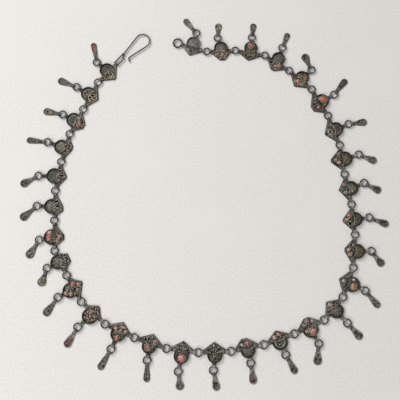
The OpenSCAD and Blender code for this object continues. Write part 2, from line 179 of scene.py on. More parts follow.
class Slot(NamedTuple):
    """An empty oval socket: its middle, its half length and half width, and its slant in degrees."""

    x: float
    y: float
    long: float
    wide: float
    slant: float


class Rib(NamedTuple):
    """A raised bar of relief: its middle, its half length and half width, its slant and its finish."""

    x: float
    y: float
    long: float
    wide: float
    slant: float
    tone: Tone = Tone.WORN


class Lump(NamedTuple):
    """A raised boss of relief: its middle and its radius."""

    x: float
    y: float
    r: float


class Stain(NamedTuple):
    """A thin crust on the silver: its middle, its radius and its colour."""

    x: float
    y: float
    r: float
    crust: Crust


def rows(kind: type, plain: tuple[tuple, ...]) -> list:
    """Makes a named tuple of each row of a table."""
    return [kind(*row) for row in plain]


def by_plaque(kind: type, table: dict[int, tuple[tuple, ...]]) -> dict[int, list]:
    """Makes a named tuple of each row of a table that has its rows by plaque."""
    return {number: rows(kind, plain) for number, plain in table.items()}


# Short names for the tables
GREY, OLIVE, BROWN, GREEN, WORN = Patina.GREY, Patina.OLIVE, Patina.BROWN, Patina.GREEN, Patina.WORN
ROSE = Tone.ROSE
BARS, LATTICE, SCROLLS = Relief.BARS, Relief.LATTICE, Relief.SCROLLS
GRAINS, PLAIN = Relief.GRAINS, Relief.PLAIN
DISC, ARC, DOME = Bottom.DISC, Bottom.ARC, Bottom.DOME

# Middle of the eye that the hook turns in
START = Vector((-77.44, 116.65))

# Columns: heading, span, the drop ring's place along the chain and out of the loop, the drop's swing,
# its length from the ring's middle and the width of its paddle
CHAIN = rows(Link, (
    (228, 23.0, -1.4, 13.9, -36, 19.0, 5.1),
    (244, 27.5, -1.7, 15.0, 3, 18.0, 6.4),
    (244, 25.0, -0.4, 13.9, 14, 17.5, 6.4),
    (256, 25.5, -1.2, 16.5, 7, 18.5, 5.4),
    (261, 25.5, 2.3, 16.8, 37, 17.0, 7.0),
    (271, 25.5, 0.2, 15.2, 39, 17.5, 7.2),
    (273, 25.5, 3.1, 12.9, 55, 17.5, 7.4),
    (298, 23.0, -1.3, 11.9, 43, 15.5, 7.4),
    (301, 25.0, -0.3, 14.9, 23, 18.0, 6.8),
    (318, 27.0, -1.3, 16.6, 11, 18.5, 6.6),
    (336, 26.5, -0.2, 15.9, -6, 18.5, 5.8),
    (342, 27.5, 1.9, 13.6, 17, 17.0, 5.4),
    (353, 26.0, -1.2, 16.7, 14, 14.5, 7.0),
    (2, 26.5, -1.6, 14.3, 8, 16.0, 6.2),
    (11, 27.0, 0.2, 12.1, -3, 16.5, 6.4),
    (19, 26.5, 0.8, 13.0, 10, 17.0, 6.0),
    (24, 27.0, 1.2, 15.0, -29, 17.0, 7.0),
    (49, 24.5, -1.7, 15.8, -7, 17.0, 6.8),
    (68, 26.0, -1.3, 15.4, -28, 17.5, 6.0),
    (84, 27.5, 1.4, 14.3, -46, 15.5, 6.8),
    (94, 26.0, 0.6, 13.6, -25, 17.5, 6.4),
    (100, 26.5, 2.7, 14.7, -37, 16.0, 6.6),
    (97, 26.0, 2.5, 15.0, -29, 16.5, 6.6),
    (109, 28.0, 0.9, 14.2, -11, 16.5, 6.4),
    (119, 27.5, -0.1, 14.7, 22, 18.5, 5.8),
    (138, 26.0, -1.4, 13.8, 64, 16.5, 7.0),
    (146, 25.5, 3.7, 14.8, 12, 15.5, 5.2),
    (170, 26.5, 0.7, 14.8, 2, 14.0, 5.6),
    (182, 25.5, 2.5, 12.4, -6, 14.5, 6.2),
    (163, 27.0, 0.5, 14.1, 55, 17.5, 5.8),
))

# Columns: the point's place and half the flat at it, the cup's middle and radius, the medallion's ground,
# the cup's floor, the roof's feet, the patina of the plate and that of the cup
FORMS = rows(Form, (
    (-1.2, 9.0, 0.8, -1.9, 2.1, 6.3, BARS, DISC, 0, OLIVE, OLIVE),
    (0.2, 7.6, 0.3, -0.6, 2.7, 6.3, BARS, ARC, 0, BROWN, GREEN),
    (0.9, 7.9, 2.2, -0.2, 2.7, 6.4, GRAINS, ARC, 0, BROWN, GREEN),
    (-1.2, 5.9, 1.6, 0.0, 3.4, 6.4, BARS, DOME, 0, BROWN, GREEN),
    (-0.4, 7.1, 0.8, 0.2, 3.4, 6.6, BARS, DISC, 0, BROWN, GREY),
    (2.6, 6.9, 2.2, 0.7, 2.6, 6.4, BARS, DOME, 0, GREY, GREEN),
    (1.7, 7.9, 2.0, 1.2, 2.4, 6.5, GRAINS, DISC, 0, BROWN, BROWN),
    (-1.0, 8.3, 3.6, -1.5, 1.6, 6.2, BARS, DOME, 0, GREY, GREEN),
    (-1.2, 8.4, 0.6, 0.1, 3.2, 6.4, GRAINS, DISC, 0, GREEN, BROWN),
    (0.0, 6.9, 0.8, 0.0, 3.5, 6.6, LATTICE, DISC, 2.3, BROWN, BROWN),
    (-0.1, 7.4, 0.3, 0.0, 2.6, 6.3, LATTICE, DISC, 0, BROWN, OLIVE),
    (0.1, 7.4, 0.3, 0.0, 2.6, 6.1, SCROLLS, DISC, 0, GREY, GREEN),
    (0.0, 7.4, 0.3, -0.3, 4.4, 6.2, SCROLLS, DISC, 0, GREY, GREEN),
    (0.0, 7.8, 0.3, 0.0, 2.6, 6.2, SCROLLS, DISC, 0, OLIVE, OLIVE),
    (-1.4, 7.7, 2.4, 0.0, 2.0, 6.0, GRAINS, DOME, 0, GREY, GREEN),
    (-0.3, 7.1, 0.6, 0.0, 2.5, 6.3, GRAINS, ARC, 0, BROWN, GREEN),
    (0.6, 7.4, 2.2, 0.0, 2.5, 6.4, GRAINS, DISC, 0, GREY, OLIVE),
    (0.2, 7.5, 0.5, 0.0, 2.6, 6.3, GRAINS, DOME, 0, GREY, GREEN),
    (-0.2, 7.4, 0.6, -0.4, 3.7, 6.4, SCROLLS, DISC, 0, WORN, BROWN),
    (0.3, 7.8, 1.4, 0.0, 2.6, 6.3, GRAINS, DOME, 0, OLIVE, OLIVE),
    (-0.4, 8.6, 1.2, 0.0, 1.7, 6.1, GRAINS, DISC, 0, GREY, GREY),
    (0.6, 7.6, 0.4, 0.2, 2.6, 6.3, GRAINS, DOME, 0, GREEN, GREEN),
    (0.0, 9.5, 1.4, 0.1, 2.4, 6.5, SCROLLS, DOME, 0, BROWN, OLIVE),
    (-1.0, 8.3, 0.4, 0.0, 2.0, 6.3, LATTICE, ARC, 0, GREEN, BROWN),
    (-2.0, 8.5, 2.5, 0.0, 2.2, 6.3, SCROLLS, ARC, 0, BROWN, OLIVE),
    (0.0, 7.6, 0.5, 0.0, 2.4, 6.2, LATTICE, DISC, 0, BROWN, OLIVE),
    (-0.2, 7.7, 1.5, 1.0, 4.0, 6.0, BARS, DOME, 0, GREY, GREEN),
    (0.2, 6.9, 0.5, 0.0, 4.7, 5.9, SCROLLS, DISC, 0, OLIVE, GREY),
    (-1.0, 8.4, 2.2, 0.0, 2.5, 6.2, LATTICE, DOME, 0, BROWN, GREY),
    (0.1, 7.6, 0.6, 0.0, 3.8, 6.2, PLAIN, DOME, 0, WORN, WORN),
))

# The dish of each drop, from the first to the thirtieth
DROP_DISHES = (
    Dish.RED, Dish.DARK, Dish.BROWN, Dish.DARK, Dish.DARK, Dish.DARK, Dish.GREY, Dish.OLIVE, Dish.BROWN,
    Dish.RED, Dish.GREY, Dish.GREY, Dish.GREY, Dish.BROWN, Dish.BROWN, Dish.BROWN, Dish.BROWN, Dish.GREY,
    Dish.GREY, Dish.DARK, Dish.DARK, Dish.DARK, Dish.GREY, Dish.GREY, Dish.DARK, Dish.DARK, Dish.GREY,
    Dish.GREY, Dish.OLIVE, Dish.GREY,
)

# The plaques whose medallion has kept a bright base
BRIGHT_BASES = (3, 15, 16, 24)

# The radius of the bright boss that paints a highlight in a drop's dish, by plaque
DISH_GLINTS = {7: 1.15, 10: 0.6, 13: 0.9, 16: 0.9, 19: 0.6, 20: 0.6, 22: 0.5, 27: 0.9}

# The plaques whose tabs, eyes and drops take the brighter silver that paints their sheen
SHEEN_PLAQUES = (10, 13, 14, 15, 16, 17, 18, 19, 20, 21, 22, 23, 30)

# The stones, from the first plaque to the last
STONES = rows(Stone, (
    (3, -3.4, 1.3, 0.9, Gem.GREY),
    (3, 0.2, 3.0, 1.2, Gem.PINK),
    (3, 3.1, 3.2, 1.1, Gem.DULL),
    (7, -2.4, -4.2, 1.9, Gem.BRIGHT),
    (7, 2.0, -4.6, 1.8, Gem.BRIGHT),
    (7, 1.3, 4.2, 1.3, Gem.PINK),
    (7, 4.6, 2.5, 1.1, Gem.TAN),
    (9, -3.5, 1.0, 1.7, Gem.BRIGHT),
    (9, -0.7, 5.1, 1.2, Gem.BRIGHT),
    (9, 3.1, 2.3, 1.1, Gem.DULL),
    (9, -2.4, -4.0, 1.6, Gem.GREEN),
    (9, 0.6, -7.4, 1.5, Gem.BRIGHT),
    (9, 2.8, -4.1, 1.2, Gem.PINK),
    (10, 1.8, -5.4, 0.9, Gem.SMOKY),
    (11, 0.5, -5.9, 2.0, Gem.DULL),
    (12, -0.8, -4.0, 2.3, Gem.DULL),
    (12, 3.7, 2.1, 1.5, Gem.GARNET),
    (13, 0.0, -6.1, 3.0, Gem.BRIGHT),
    (15, 1.2, 3.4, 2.1, Gem.GARNET),
    (15, -4.0, 3.1, 0.9, Gem.PALE),
    (16, 0.9, 4.0, 1.1, Gem.PINK),
    (16, -2.9, 2.4, 1.4, Gem.PINK),
    (17, 0.2, 4.7, 1.2, Gem.PINK),
    (17, 4.1, 3.5, 1.1, Gem.PINK),
    (17, -3.4, 2.6, 1.1, Gem.GREY),
    (17, 1.2, -4.8, 2.8, Gem.CORAL),
    (17, -3.5, -2.5, 1.2, Gem.TAN),
    (18, 0.2, 4.0, 1.1, Gem.PINK),
    (18, 1.5, 1.2, 1.2, Gem.SMOKY),
    (19, -0.2, 3.6, 1.5, Gem.PINK),
    (19, -1.7, -5.7, 2.9, Gem.AMBER),
    (19, 3.7, -3.6, 1.2, Gem.PALE),
    (20, 0.8, 4.7, 0.9, Gem.PALE),
    (20, -3.1, 3.3, 1.2, Gem.PINK),
    (21, 3.4, 3.0, 1.4, Gem.CORAL),
    (21, 0.2, 5.4, 0.9, Gem.PALE),
    (22, 4.3, 1.9, 1.6, Gem.GARNET),
    (22, 0.2, 5.0, 1.0, Gem.TEAL),
    (22, -2.4, 2.2, 1.0, Gem.GREY),
    (23, 0.5, 5.7, 0.9, Gem.TAN),
    (23, -2.2, 3.1, 1.0, Gem.PALE),
    (23, 5.2, 2.2, 0.9, Gem.GREY),
    (24, -3.2, 2.3, 1.3, Gem.DULL),
    (24, -0.2, 5.0, 0.8, Gem.PALE),
    (25, 0.5, -4.5, 3.1, Gem.ORANGE),
    (25, -3.4, 3.1, 1.0, Gem.PINK),
    (26, 0.4, 2.4, 1.6, Gem.CORAL),
    (26, -2.4, -4.3, 1.4, Gem.AMBER),
    (27, -3.4, 0.9, 1.5, Gem.CORAL),
    (27, -0.5, 3.4, 1.0, Gem.TAN),
    (28, 0.0, -7.2, 2.6, Gem.DULL),
    (29, -1.0, 4.7, 0.9, Gem.PINK),
    (29, 3.0, 2.5, 1.0, Gem.PINK),
))

# A stone of at least this radius is a piece of its own
MAIN_R = 1.8

# The empty sockets of each plaque
SLOTS = by_plaque(Slot, {
    1: ((-6.6, 1.4, 1.4, 0.8, 130), (-4.3, 0.6, 1.25, 0.8, 125), (-2.2, 1.9, 1.25, 0.75, 125),
        (0.8, 1.0, 1.35, 0.95, 50), (2.6, 3.1, 0.8, 0.65, 60)),
    2: ((-0.8, 1.4, 1.35, 0.8, 120), (1.5, 0.4, 1.3, 0.95, 45), (-2.8, -0.8, 1.3, 0.75, 120)),
    3: ((-2.2, -0.1, 1.3, 0.95, 150), (3.1, 0.4, 1.55, 1, 35), (-5.0, 0.5, 0.8, 0.65, 130)),
    4: ((-1.7, 0.0, 1.2, 0.95, 60), (-0.2, 2.9, 1.3, 0.75, 110), (1.1, -1.2, 1.2, 0.75, 45),
        (-4.2, 0.0, 1.05, 0.8, 115), (-2.8, 2.7, 1.05, 0.75, 115)),
    5: ((-4.5, 0.9, 1.9, 1.05, 130), (-3.0, -0.7, 1.2, 0.8, 135), (-0.8, 2.7, 2, 1.05, 95),
        (1.5, 0.2, 1.2, 0.75, 100)),
    6: ((-3.3, 1.1, 1.9, 1.05, 125), (0.8, 2.8, 2, 1, 95), (3.9, 1.8, 1.4, 0.75, 100),
        (-1.6, -0.3, 0.95, 0.6, 120)),
    7: ((1.5, 1.4, 1.3, 0.95, 90), (-1.0, 4.2, 0.8, 0.75, 90), (3.2, 0.9, 0.95, 0.65, 120)),
    8: ((-5.4, 3.6, 1.3, 0.95, 140), (-1.7, 3.4, 1.4, 0.8, 90), (-4.0, 5.6, 1.2, 0.8, 125),
        (0.2, 5.6, 1.2, 0.75, 70), (2.6, 4.2, 1.3, 0.75, 50), (-1.9, 6.2, 1.05, 0.8, 95)),
    9: ((0.8, 0.9, 1.2, 0.95, 100), (1.4, 3.7, 0.8, 0.75, 90), (-2.9, 3.6, 0.8, 0.65, 50)),
    10: ((1.6, -0.6, 0.95, 0.8, 30), (-1.9, 2.2, 0.95, 0.75, 60), (3.0, 1.2, 0.8, 0.75, 120)),
    11: ((-1.3, 0.7, 1.55, 0.8, 60), (-1.9, 3.2, 1.05, 0.65, 30), (2.4, 1.0, 1.3, 0.75, 20)),
    12: ((-4.5, 1.7, 1.55, 0.95, 110), (-2.2, 2.7, 1.55, 0.95, 100), (1.6, 0.9, 0.95, 0.75, 60),
         (0.6, 3.2, 0.95, 0.65, 120)),
    13: ((-2.4, 3.3, 0.95, 0.65, 60), (1.4, 3.4, 1.05, 0.75, 110), (-5.4, 1.6, 0.95, 0.65, 60),
         (0.6, 1.1, 0.8, 0.75, 90), (4.9, 2.0, 0.8, 0.65, 130)),
    14: ((-1.7, 3.2, 1.05, 0.75, 120), (1.6, 3.2, 1.05, 0.75, 60), (0.0, 1.4, 1.3, 0.75, 90),
         (-3.6, 2.2, 1.05, 0.75, 120)),
    15: ((-2.1, 3.6, 1.3, 0.75, 80), (-5.8, 2.0, 1.05, 0.75, 70), (4.7, 2.2, 1.05, 0.75, 60),
         (-2.6, 1.3, 0.95, 0.75, 130)),
    16: ((0.8, 1.7, 1.2, 0.8, 70), (-0.9, 0.6, 1.2, 0.75, 120), (-1.2, 4.5, 1.05, 0.75, 110),
         (3.2, 2.2, 1.05, 0.75, 120)),
    17: ((-1.6, 3.9, 1.3, 0.8, 80), (2.2, 3.9, 1.05, 0.75, 90), (-0.8, 1.6, 1.3, 0.75, 100),
         (2.4, 1.5, 1.3, 0.75, 80), (4.9, 1.1, 1.05, 0.75, 60), (0.8, 1.7, 1.2, 0.65, 90)),
    18: ((-1.3, 4.7, 1.4, 0.65, 48), (1.2, 5.0, 1.4, 0.65, 135), (-4.0, 2.5, 1.1, 0.7, 100),
         (-2.5, 0.8, 1.6, 0.65, 135), (2.9, 3.0, 1.2, 0.7, 120), (4.9, 0.4, 1.3, 0.65, 135),
         (-0.2, 1.6, 0.9, 0.65, 120)),
    19: ((-2.2, 0.7, 0.95, 0.65, 110), (0.5, 0.7, 0.8, 0.65, 90), (2.6, 1.6, 0.95, 0.65, 110),
         (-4.3, 1.4, 1.05, 1.05, 90)),
    20: ((0.3, 2.0, 1.4, 0.95, 85), (-1.2, 4.8, 0.8, 0.75, 60), (4.4, 2.9, 1.55, 1.05, 140),
         (2.2, 2.8, 0.95, 0.65, 100)),
    21: ((0.1, 2.5, 1.4, 0.95, 95), (-3.4, 3.0, 1.65, 1.4, 20), (-0.9, 7.0, 0.95, 0.65, 150),
         (5.8, 1.6, 1.05, 0.75, 110), (-1.5, 4.8, 1.05, 0.65, 100)),
    22: ((-0.3, 2.6, 1.4, 0.95, 110), (-1.3, 0.4, 1.2, 0.8, 120), (1.5, 0.9, 1.05, 0.75, 90),
         (-4.4, 1.0, 1.05, 0.75, 110)),
    23: ((-0.9, 1.3, 1.2, 0.8, 110), (-0.8, 4.7, 1.05, 0.75, 110), (2.2, 3.2, 1.4, 0.75, 110),
         (-4.2, 2.0, 1.05, 0.75, 110), (3.2, 0.9, 1.05, 0.75, 100)),
    24: ((-1.8, 0.4, 1.2, 0.8, 150), (2.7, 1.1, 1.2, 0.75, 60), (-1.3, 3.6, 1.05, 0.65, 110)),
    25: ((-3.0, 5.6, 0.8, 0.75, 90), (-1.0, 5.9, 0.8, 0.75, 90), (0.4, 2.1, 1.3, 0.8, 60),
         (-1.5, 3.9, 1.05, 0.75, 120), (3.2, 3.4, 1.4, 0.75, 70), (-5.4, 1.2, 0.95, 0.65, 60)),
    26: ((0.3, 5.1, 1.05, 0.65, 10), (3.3, 1.0, 1.8, 0.65, 50), (-2.2, 0.7, 0.95, 0.65, 60),
         (3.3, -2.4, 2.5, 0.75, 50), (1.3, -1.9, 1.65, 0.65, 50)),
    27: ((4.1, 2.0, 2.4, 1.05, 33), (-0.9, -0.3, 1.55, 0.65, 30), (1.3, 2.0, 1.2, 0.65, 35)),
    28: ((-3.0, -1.6, 0.7, 0.75, 0), (1.8, -1.9, 0.7, 0.75, 0), (-2.6, 1.9, 0.8, 0.6, 20),
         (0.0, 5.0, 1.05, 0.6, 0)),
    29: ((-0.9, 6.4, 1.3, 0.65, 0), (0.9, 2.6, 0.8, 0.65, 90), (-2.6, 2.2, 0.8, 0.65, 40)),
    30: ((-2.0, 0.1, 1.2, 0.6, 20), (0.7, 3.3, 0.8, 0.65, 60)),
})

# The raised bars of each plaque
RIBS = by_plaque(Rib, {
    1: ((-5.5, 2.2, 0.8, 0.3, 125), (-3.3, 2.4, 0.9, 0.3, 125), (2.1, 1.8, 0.9, 0.3, 45),
        (-0.8, 3.4, 1.0, 0.3, 125), (-4.2, 4.6, 0.9, 0.4, 40, ROSE)),
    2: ((-1.2, 3.8, 1.2, 0.3, 115), (1.4, 4.6, 0.8, 0.3, 120), (2.9, 1.1, 0.7, 0.3, 50),
        (-4.6, 0.5, 1.5, 0.3, 115), (-2.7, 2.7, 1.0, 0.45, 115, ROSE), (-6.2, 0.9, 0.8, 0.3, 115)),
    3: ((0.4, 5.4, 0.8, 0.4, 115, ROSE), (2.2, 5.6, 0.8, 0.4, 110, ROSE), (4.8, 1.4, 0.6, 0.3, 130),
        (-1.9, 2.3, 1.0, 0.35, 120, ROSE), (0.9, 0.6, 1.0, 0.3, 115)),
    4: ((-5.5, 1.2, 1.1, 0.5, 100, ROSE), (-3.0, -0.4, 1.1, 0.28, 110), (-1.2, 1.7, 0.9, 0.3, 120),
        (2.3, -0.4, 0.9, 0.35, 35), (1.3, 1.4, 1.0, 0.3, 60), (4.5, 0.4, 1.1, 0.45, 120, ROSE),
        (3.0, 2.2, 0.9, 0.35, 140)),
    5: ((0.8, 4.0, 1.3, 0.4, 95, ROSE), (2.4, 1.6, 0.9, 0.3, 110), (3.5, 1.4, 1.5, 0.3, 95),
        (4.7, 1.0, 1.1, 0.28, 95), (-3.9, 3.0, 0.9, 0.35, 130), (-2.5, 1.5, 1.3, 0.28, 120)),
    6: ((-1.7, 1.9, 1.5, 0.28, 115), (2.3, 2.6, 1.6, 0.3, 95), (-5.0, 1.5, 1.0, 0.28, 120),
        (5.2, 1.4, 0.9, 0.28, 110)),
    7: ((-0.9, 2.2, 1.0, 0.35, 80), (4.9, 0.4, 1.1, 0.35, 110, ROSE), (0.2, 6.2, 0.8, 0.35, 60, ROSE)),
    8: ((-3.2, 4.0, 1.6, 0.26, 120), (-0.5, 4.4, 1.6, 0.26, 72), (1.2, 3.9, 1.7, 0.26, 52),
        (-4.6, 2.0, 1.5, 0.26, 155), (2.6, 2.2, 1.5, 0.26, 28)),
    9: ((-0.7, 1.3, 1.4, 0.28, 75), (1.6, 5.1, 0.9, 0.3, 115)),
    11: ((-3.9, 0.8, 1.3, 1.2, 20, ROSE), (1.1, 3.6, 1.2, 1.0, 20, ROSE), (4.6, 1.6, 1.0, 0.8, 20),
         (0.6, 0.8, 0.9, 0.7, 20, ROSE), (-4.4, 3.1, 1.8, 0.28, 30), (-0.9, 5.4, 0.7, 0.5, 40)),
    12: ((-3.4, 2.3, 1.2, 0.28, 105), (-0.9, 1.7, 1.1, 0.3, 100)),
    14: ((3.5, 0.2, 2.2, 0.3, 30), (-1.3, 1.3, 0.9, 0.28, 100), (1.3, 1.5, 0.8, 0.28, 80)),
    16: ((2.1, 2.7, 0.8, 0.3, 120, ROSE), (4.3, 1.1, 0.9, 0.3, 120), (1.6, -5.4, 2.4, 0.3, 30),
         (0.6, -3.6, 2.6, 0.26, 14)),
    18: ((-1.8, 1.3, 1.2, 0.28, 45), (-3.4, 2.3, 1.4, 0.28, 45), (3.2, 0.2, 1.2, 0.35, 40, ROSE),
         (-1.4, 3.9, 1.1, 0.26, 45), (1.9, 3.5, 1.0, 0.26, 135)),
    19: ((3.6, 2.4, 1.4, 0.24, 150), (4.2, 1.5, 1.5, 0.24, 150), (4.6, 0.7, 1.4, 0.24, 150),
         (-2.7, 2.3, 0.9, 0.3, 95), (-0.8, 1.3, 0.7, 0.28, 95)),
    20: ((-1.3, 1.7, 1.1, 0.35, 120, ROSE), (4.8, 1.2, 1.2, 0.35, 150)),
    21: ((-1.2, 2.4, 1.2, 0.3, 95), (1.5, 3.4, 1.0, 0.35, 95, ROSE), (-3.5, 4.8, 1.0, 0.3, 40)),
    22: ((0.6, 1.4, 1.1, 0.28, 110), (-2.6, 4.0, 0.8, 0.3, 50)),
    23: ((0.8, 2.6, 1.5, 0.28, 110), (-2.7, 5.0, 0.9, 0.3, 50, ROSE), (3.6, 3.2, 1.0, 0.28, 110)),
    24: ((4.0, 2.7, 1.0, 0.3, 70), (1.4, 3.0, 1.5, 0.45, 80), (0.4, 0.7, 0.9, 0.3, 45)),
    25: ((1.7, 3.8, 1.7, 0.28, 65), (-5.0, 3.3, 0.8, 0.45, 60, ROSE), (-0.9, 2.4, 1.0, 0.35, 120, ROSE),
         (4.4, 2.6, 1.2, 0.28, 60)),
    26: ((2.3, -2.3, 2.2, 0.3, 50), (4.3, -2.2, 1.9, 0.3, 50), (4.2, 1.7, 1.1, 0.28, 50)),
    27: ((2.3, 2.9, 1.3, 0.28, 35), (2.4, 0.7, 1.7, 0.28, 33), (-3.4, 3.2, 0.9, 0.35, 30, ROSE)),
})

# The bosses of each plaque
LUMPS = by_plaque(Lump, {
    2: ((-1.5, -5.2, 0.6), (-3.1, -3.2, 0.7), (0.6, -3.1, 0.8), (1.8, -5.4, 0.7)),
    4: ((-2.7, -4.4, 0.8), (-0.6, -5.6, 0.8), (1.9, -4.4, 0.9), (3.4, -3.0, 0.6)),
    7: ((-4.3, 1.7, 0.7), (-2.7, 2.9, 0.7), (-5.4, 0.5, 0.5), (5.0, -2.4, 0.7)),
    9: ((4.9, 0.7, 0.6), (4.7, -1.4, 0.6), (0.1, -3.0, 0.6)),
    10: ((-1.1, 5.0, 0.8), (0.9, 4.9, 0.8), (-3.2, 3.2, 0.9), (-0.3, 3.4, 0.9), (2.0, 3.1, 0.9),
         (-4.8, 1.5, 0.8), (-3.4, 0.8, 0.8), (-0.4, 1.2, 0.9), (4.6, 1.4, 0.8), (-3.6, -2.2, 0.9),
         (-1.4, -1.8, 0.9), (0.3, -3.4, 1.0), (3.4, -1.9, 0.9), (5.1, -2.8, 0.7), (-4.4, -4.4, 0.8),
         (-2.0, -4.4, 0.9), (-0.3, -6.0, 0.9), (3.9, -4.6, 0.8), (1.7, -7.7, 0.8), (-2.4, -7.0, 0.8)),
    12: ((0.1, 4.9, 0.8), (0.8, 1.9, 0.5), (2.6, -2.6, 0.7), (-3.8, -2.6, 0.7)),
    13: ((-3.8, 1.8, 1.0), (-1.3, 1.5, 0.8), (-0.4, 4.6, 0.9), (2.7, 1.6, 0.9), (3.5, 3.1, 0.6),
         (0.2, 2.6, 0.6)),
    14: ((-0.4, 5.0, 1.0), (-2.8, 4.1, 0.7), (3.3, 3.3, 0.8), (-0.8, -3.5, 0.7)),
    17: ((5.2, -1.8, 0.8), (-5.2, 1.2, 0.6)),
    22: ((-2.2, -3.4, 0.9), (-0.6, -5.6, 0.7), (1.7, -4.0, 0.8)),
    23: ((-2.9, -3.4, 0.6), (-0.3, -2.6, 0.6), (1.9, -4.2, 0.7), (-0.7, -5.6, 0.6)),
    24: ((-4.8, 1.4, 0.6), (2.8, 4.2, 0.5)),
    25: ((-4.2, 4.9, 0.7), (-2.0, 1.9, 0.7), (-3.6, 1.2, 0.7), (-0.2, 7.2, 0.5)),
    27: ((-2.6, -7.0, 0.5), (-1.0, -7.6, 0.5), (0.7, -7.8, 0.5), (2.4, -7.5, 0.5)),
    28: ((2.7, 0.6, 0.7), (-0.6, 2.0, 0.8), (1.4, 3.0, 0.7), (-2.2, 3.6, 0.6), (-4.4, 1.0, 0.7),
         (0.7, 0.4, 0.6)),
    29: ((-4.6, 1.3, 1.0), (-3.0, 4.2, 0.8), (1.4, 4.6, 0.9), (4.9, 0.9, 0.7), (-1.0, 1.2, 0.8),
         (2.0, 0.7, 0.7)),
})

# The crusts of each plaque
STAINS = by_plaque(Stain, {
    1: ((-4.4, 5.0, 1.2, Crust.RUST), (0.8, 4.6, 1.4, Crust.OLIVE), (-2.6, 0.3, 1.3, Crust.OLIVE)),
    2: ((-2.6, 4.0, 1.1, Crust.RUST), (-0.2, -1.8, 1.4, Crust.GREEN), (1.8, -3.4, 1.2, Crust.GREEN)),
    3: ((1.6, 1.8, 1.4, Crust.RUST), (0.4, -5.6, 1.8, Crust.TEAL)),
    4: ((-4.4, 1.6, 1.3, Crust.RUST), (-1.2, -3.4, 1.5, Crust.GREEN)),
    7: ((-3.6, 3.7, 1.2, Crust.GREEN), (-4.2, 0.4, 1.3, Crust.GREEN), (-8.8, 1.2, 1.0, Crust.GREEN),
        (4.4, -0.6, 1.3, Crust.RUST)),
    9: ((-4.4, -2.6, 1.2, Crust.TEAL), (-6.3, 1.2, 1.2, Crust.GREEN), (0.2, 2.6, 0.9, Crust.GREEN),
        (4.7, -5.8, 1.0, Crust.RUST)),
    10: ((1.6, -0.4, 0.9, Crust.GREEN), (-5.0, -0.6, 0.9, Crust.TEAL), (-3.3, -8.0, 0.9, Crust.GREEN)),
    11: ((4.5, -3.8, 1.3, Crust.GREEN), (-3.0, -2.0, 1.2, Crust.GOLD)),
    12: ((0.0, 4.1, 1.0, Crust.TEAL), (-3.6, -4.8, 1.2, Crust.GREEN)),
    13: ((4.4, -6.8, 1.0, Crust.GREEN), (-3.2, -8.8, 1.0, Crust.GREEN), (-4.6, -1.8, 1.1, Crust.TEAL)),
    14: ((5.6, 2.6, 1.2, Crust.TEAL), (-2.2, -5.6, 1.4, Crust.GOLD), (0.2, 2.4, 1.0, Crust.GREEN)),
    15: ((-1.0, -3.4, 1.8, Crust.TEAL), (4.4, 4.0, 0.9, Crust.RUST)),
    16: ((-3.0, -1.6, 1.5, Crust.TEAL), (3.8, -3.8, 1.3, Crust.RUST), (0.2, 5.6, 0.9, Crust.RUST)),
    17: ((-1.0, -1.4, 1.1, Crust.TEAL), (3.4, 0.2, 1.2, Crust.TEAL), (-4.6, 0.0, 1.1, Crust.RUST)),
    18: ((-3.6, -2.4, 1.3, Crust.OLIVE),),
    19: ((-4.3, 1.9, 1.2, Crust.GREEN), (2.4, -5.6, 1.2, Crust.RUST)),
    20: ((6.2, 2.2, 1.4, Crust.OLIVE), (7.8, 0.8, 1.2, Crust.OLIVE), (-0.8, -5.4, 1.0, Crust.GOLD)),
    21: ((-2.4, -4.0, 1.6, Crust.RUST), (-0.4, -5.6, 0.7, Crust.GOLD), (5.6, 3.2, 0.9, Crust.RUST)),
    22: ((-0.8, 5.9, 1.0, Crust.TEAL), (2.0, 4.6, 1.2, Crust.TEAL), (8.2, 1.2, 0.8, Crust.TEAL),
         (2.6, -2.6, 1.5, Crust.TEAL), (-2.6, -3.6, 1.4, Crust.OLIVE)),
    23: ((8.0, 0.4, 1.1, Crust.TEAL), (-6.4, 1.2, 1.0, Crust.TEAL), (0.9, 4.0, 1.0, Crust.RUST)),
    24: ((1.6, 3.6, 1.3, Crust.GREEN), (0.6, 1.4, 1.2, Crust.GREEN), (3.4, -1.4, 1.6, Crust.RUST)),
    25: ((-8.0, 0.4, 1.3, Crust.TEAL), (4.6, 1.0, 1.3, Crust.TEAL), (-3.6, -3.2, 1.2, Crust.GOLD),
         (-5.4, -1.0, 1.1, Crust.OLIVE)),
    26: ((-3.3, 3.0, 1.1, Crust.TEAL), (-4.2, -1.6, 1.3, Crust.GOLD), (-0.6, -6.2, 1.0, Crust.GOLD)),
    27: ((-5.6, 2.8, 1.0, Crust.TEAL), (-7.8, 0.6, 1.0, Crust.TEAL)),
    29: ((-0.5, -0.2, 1.4, Crust.GREEN), (-2.0, -5.6, 1.0, Crust.OLIVE)),
})


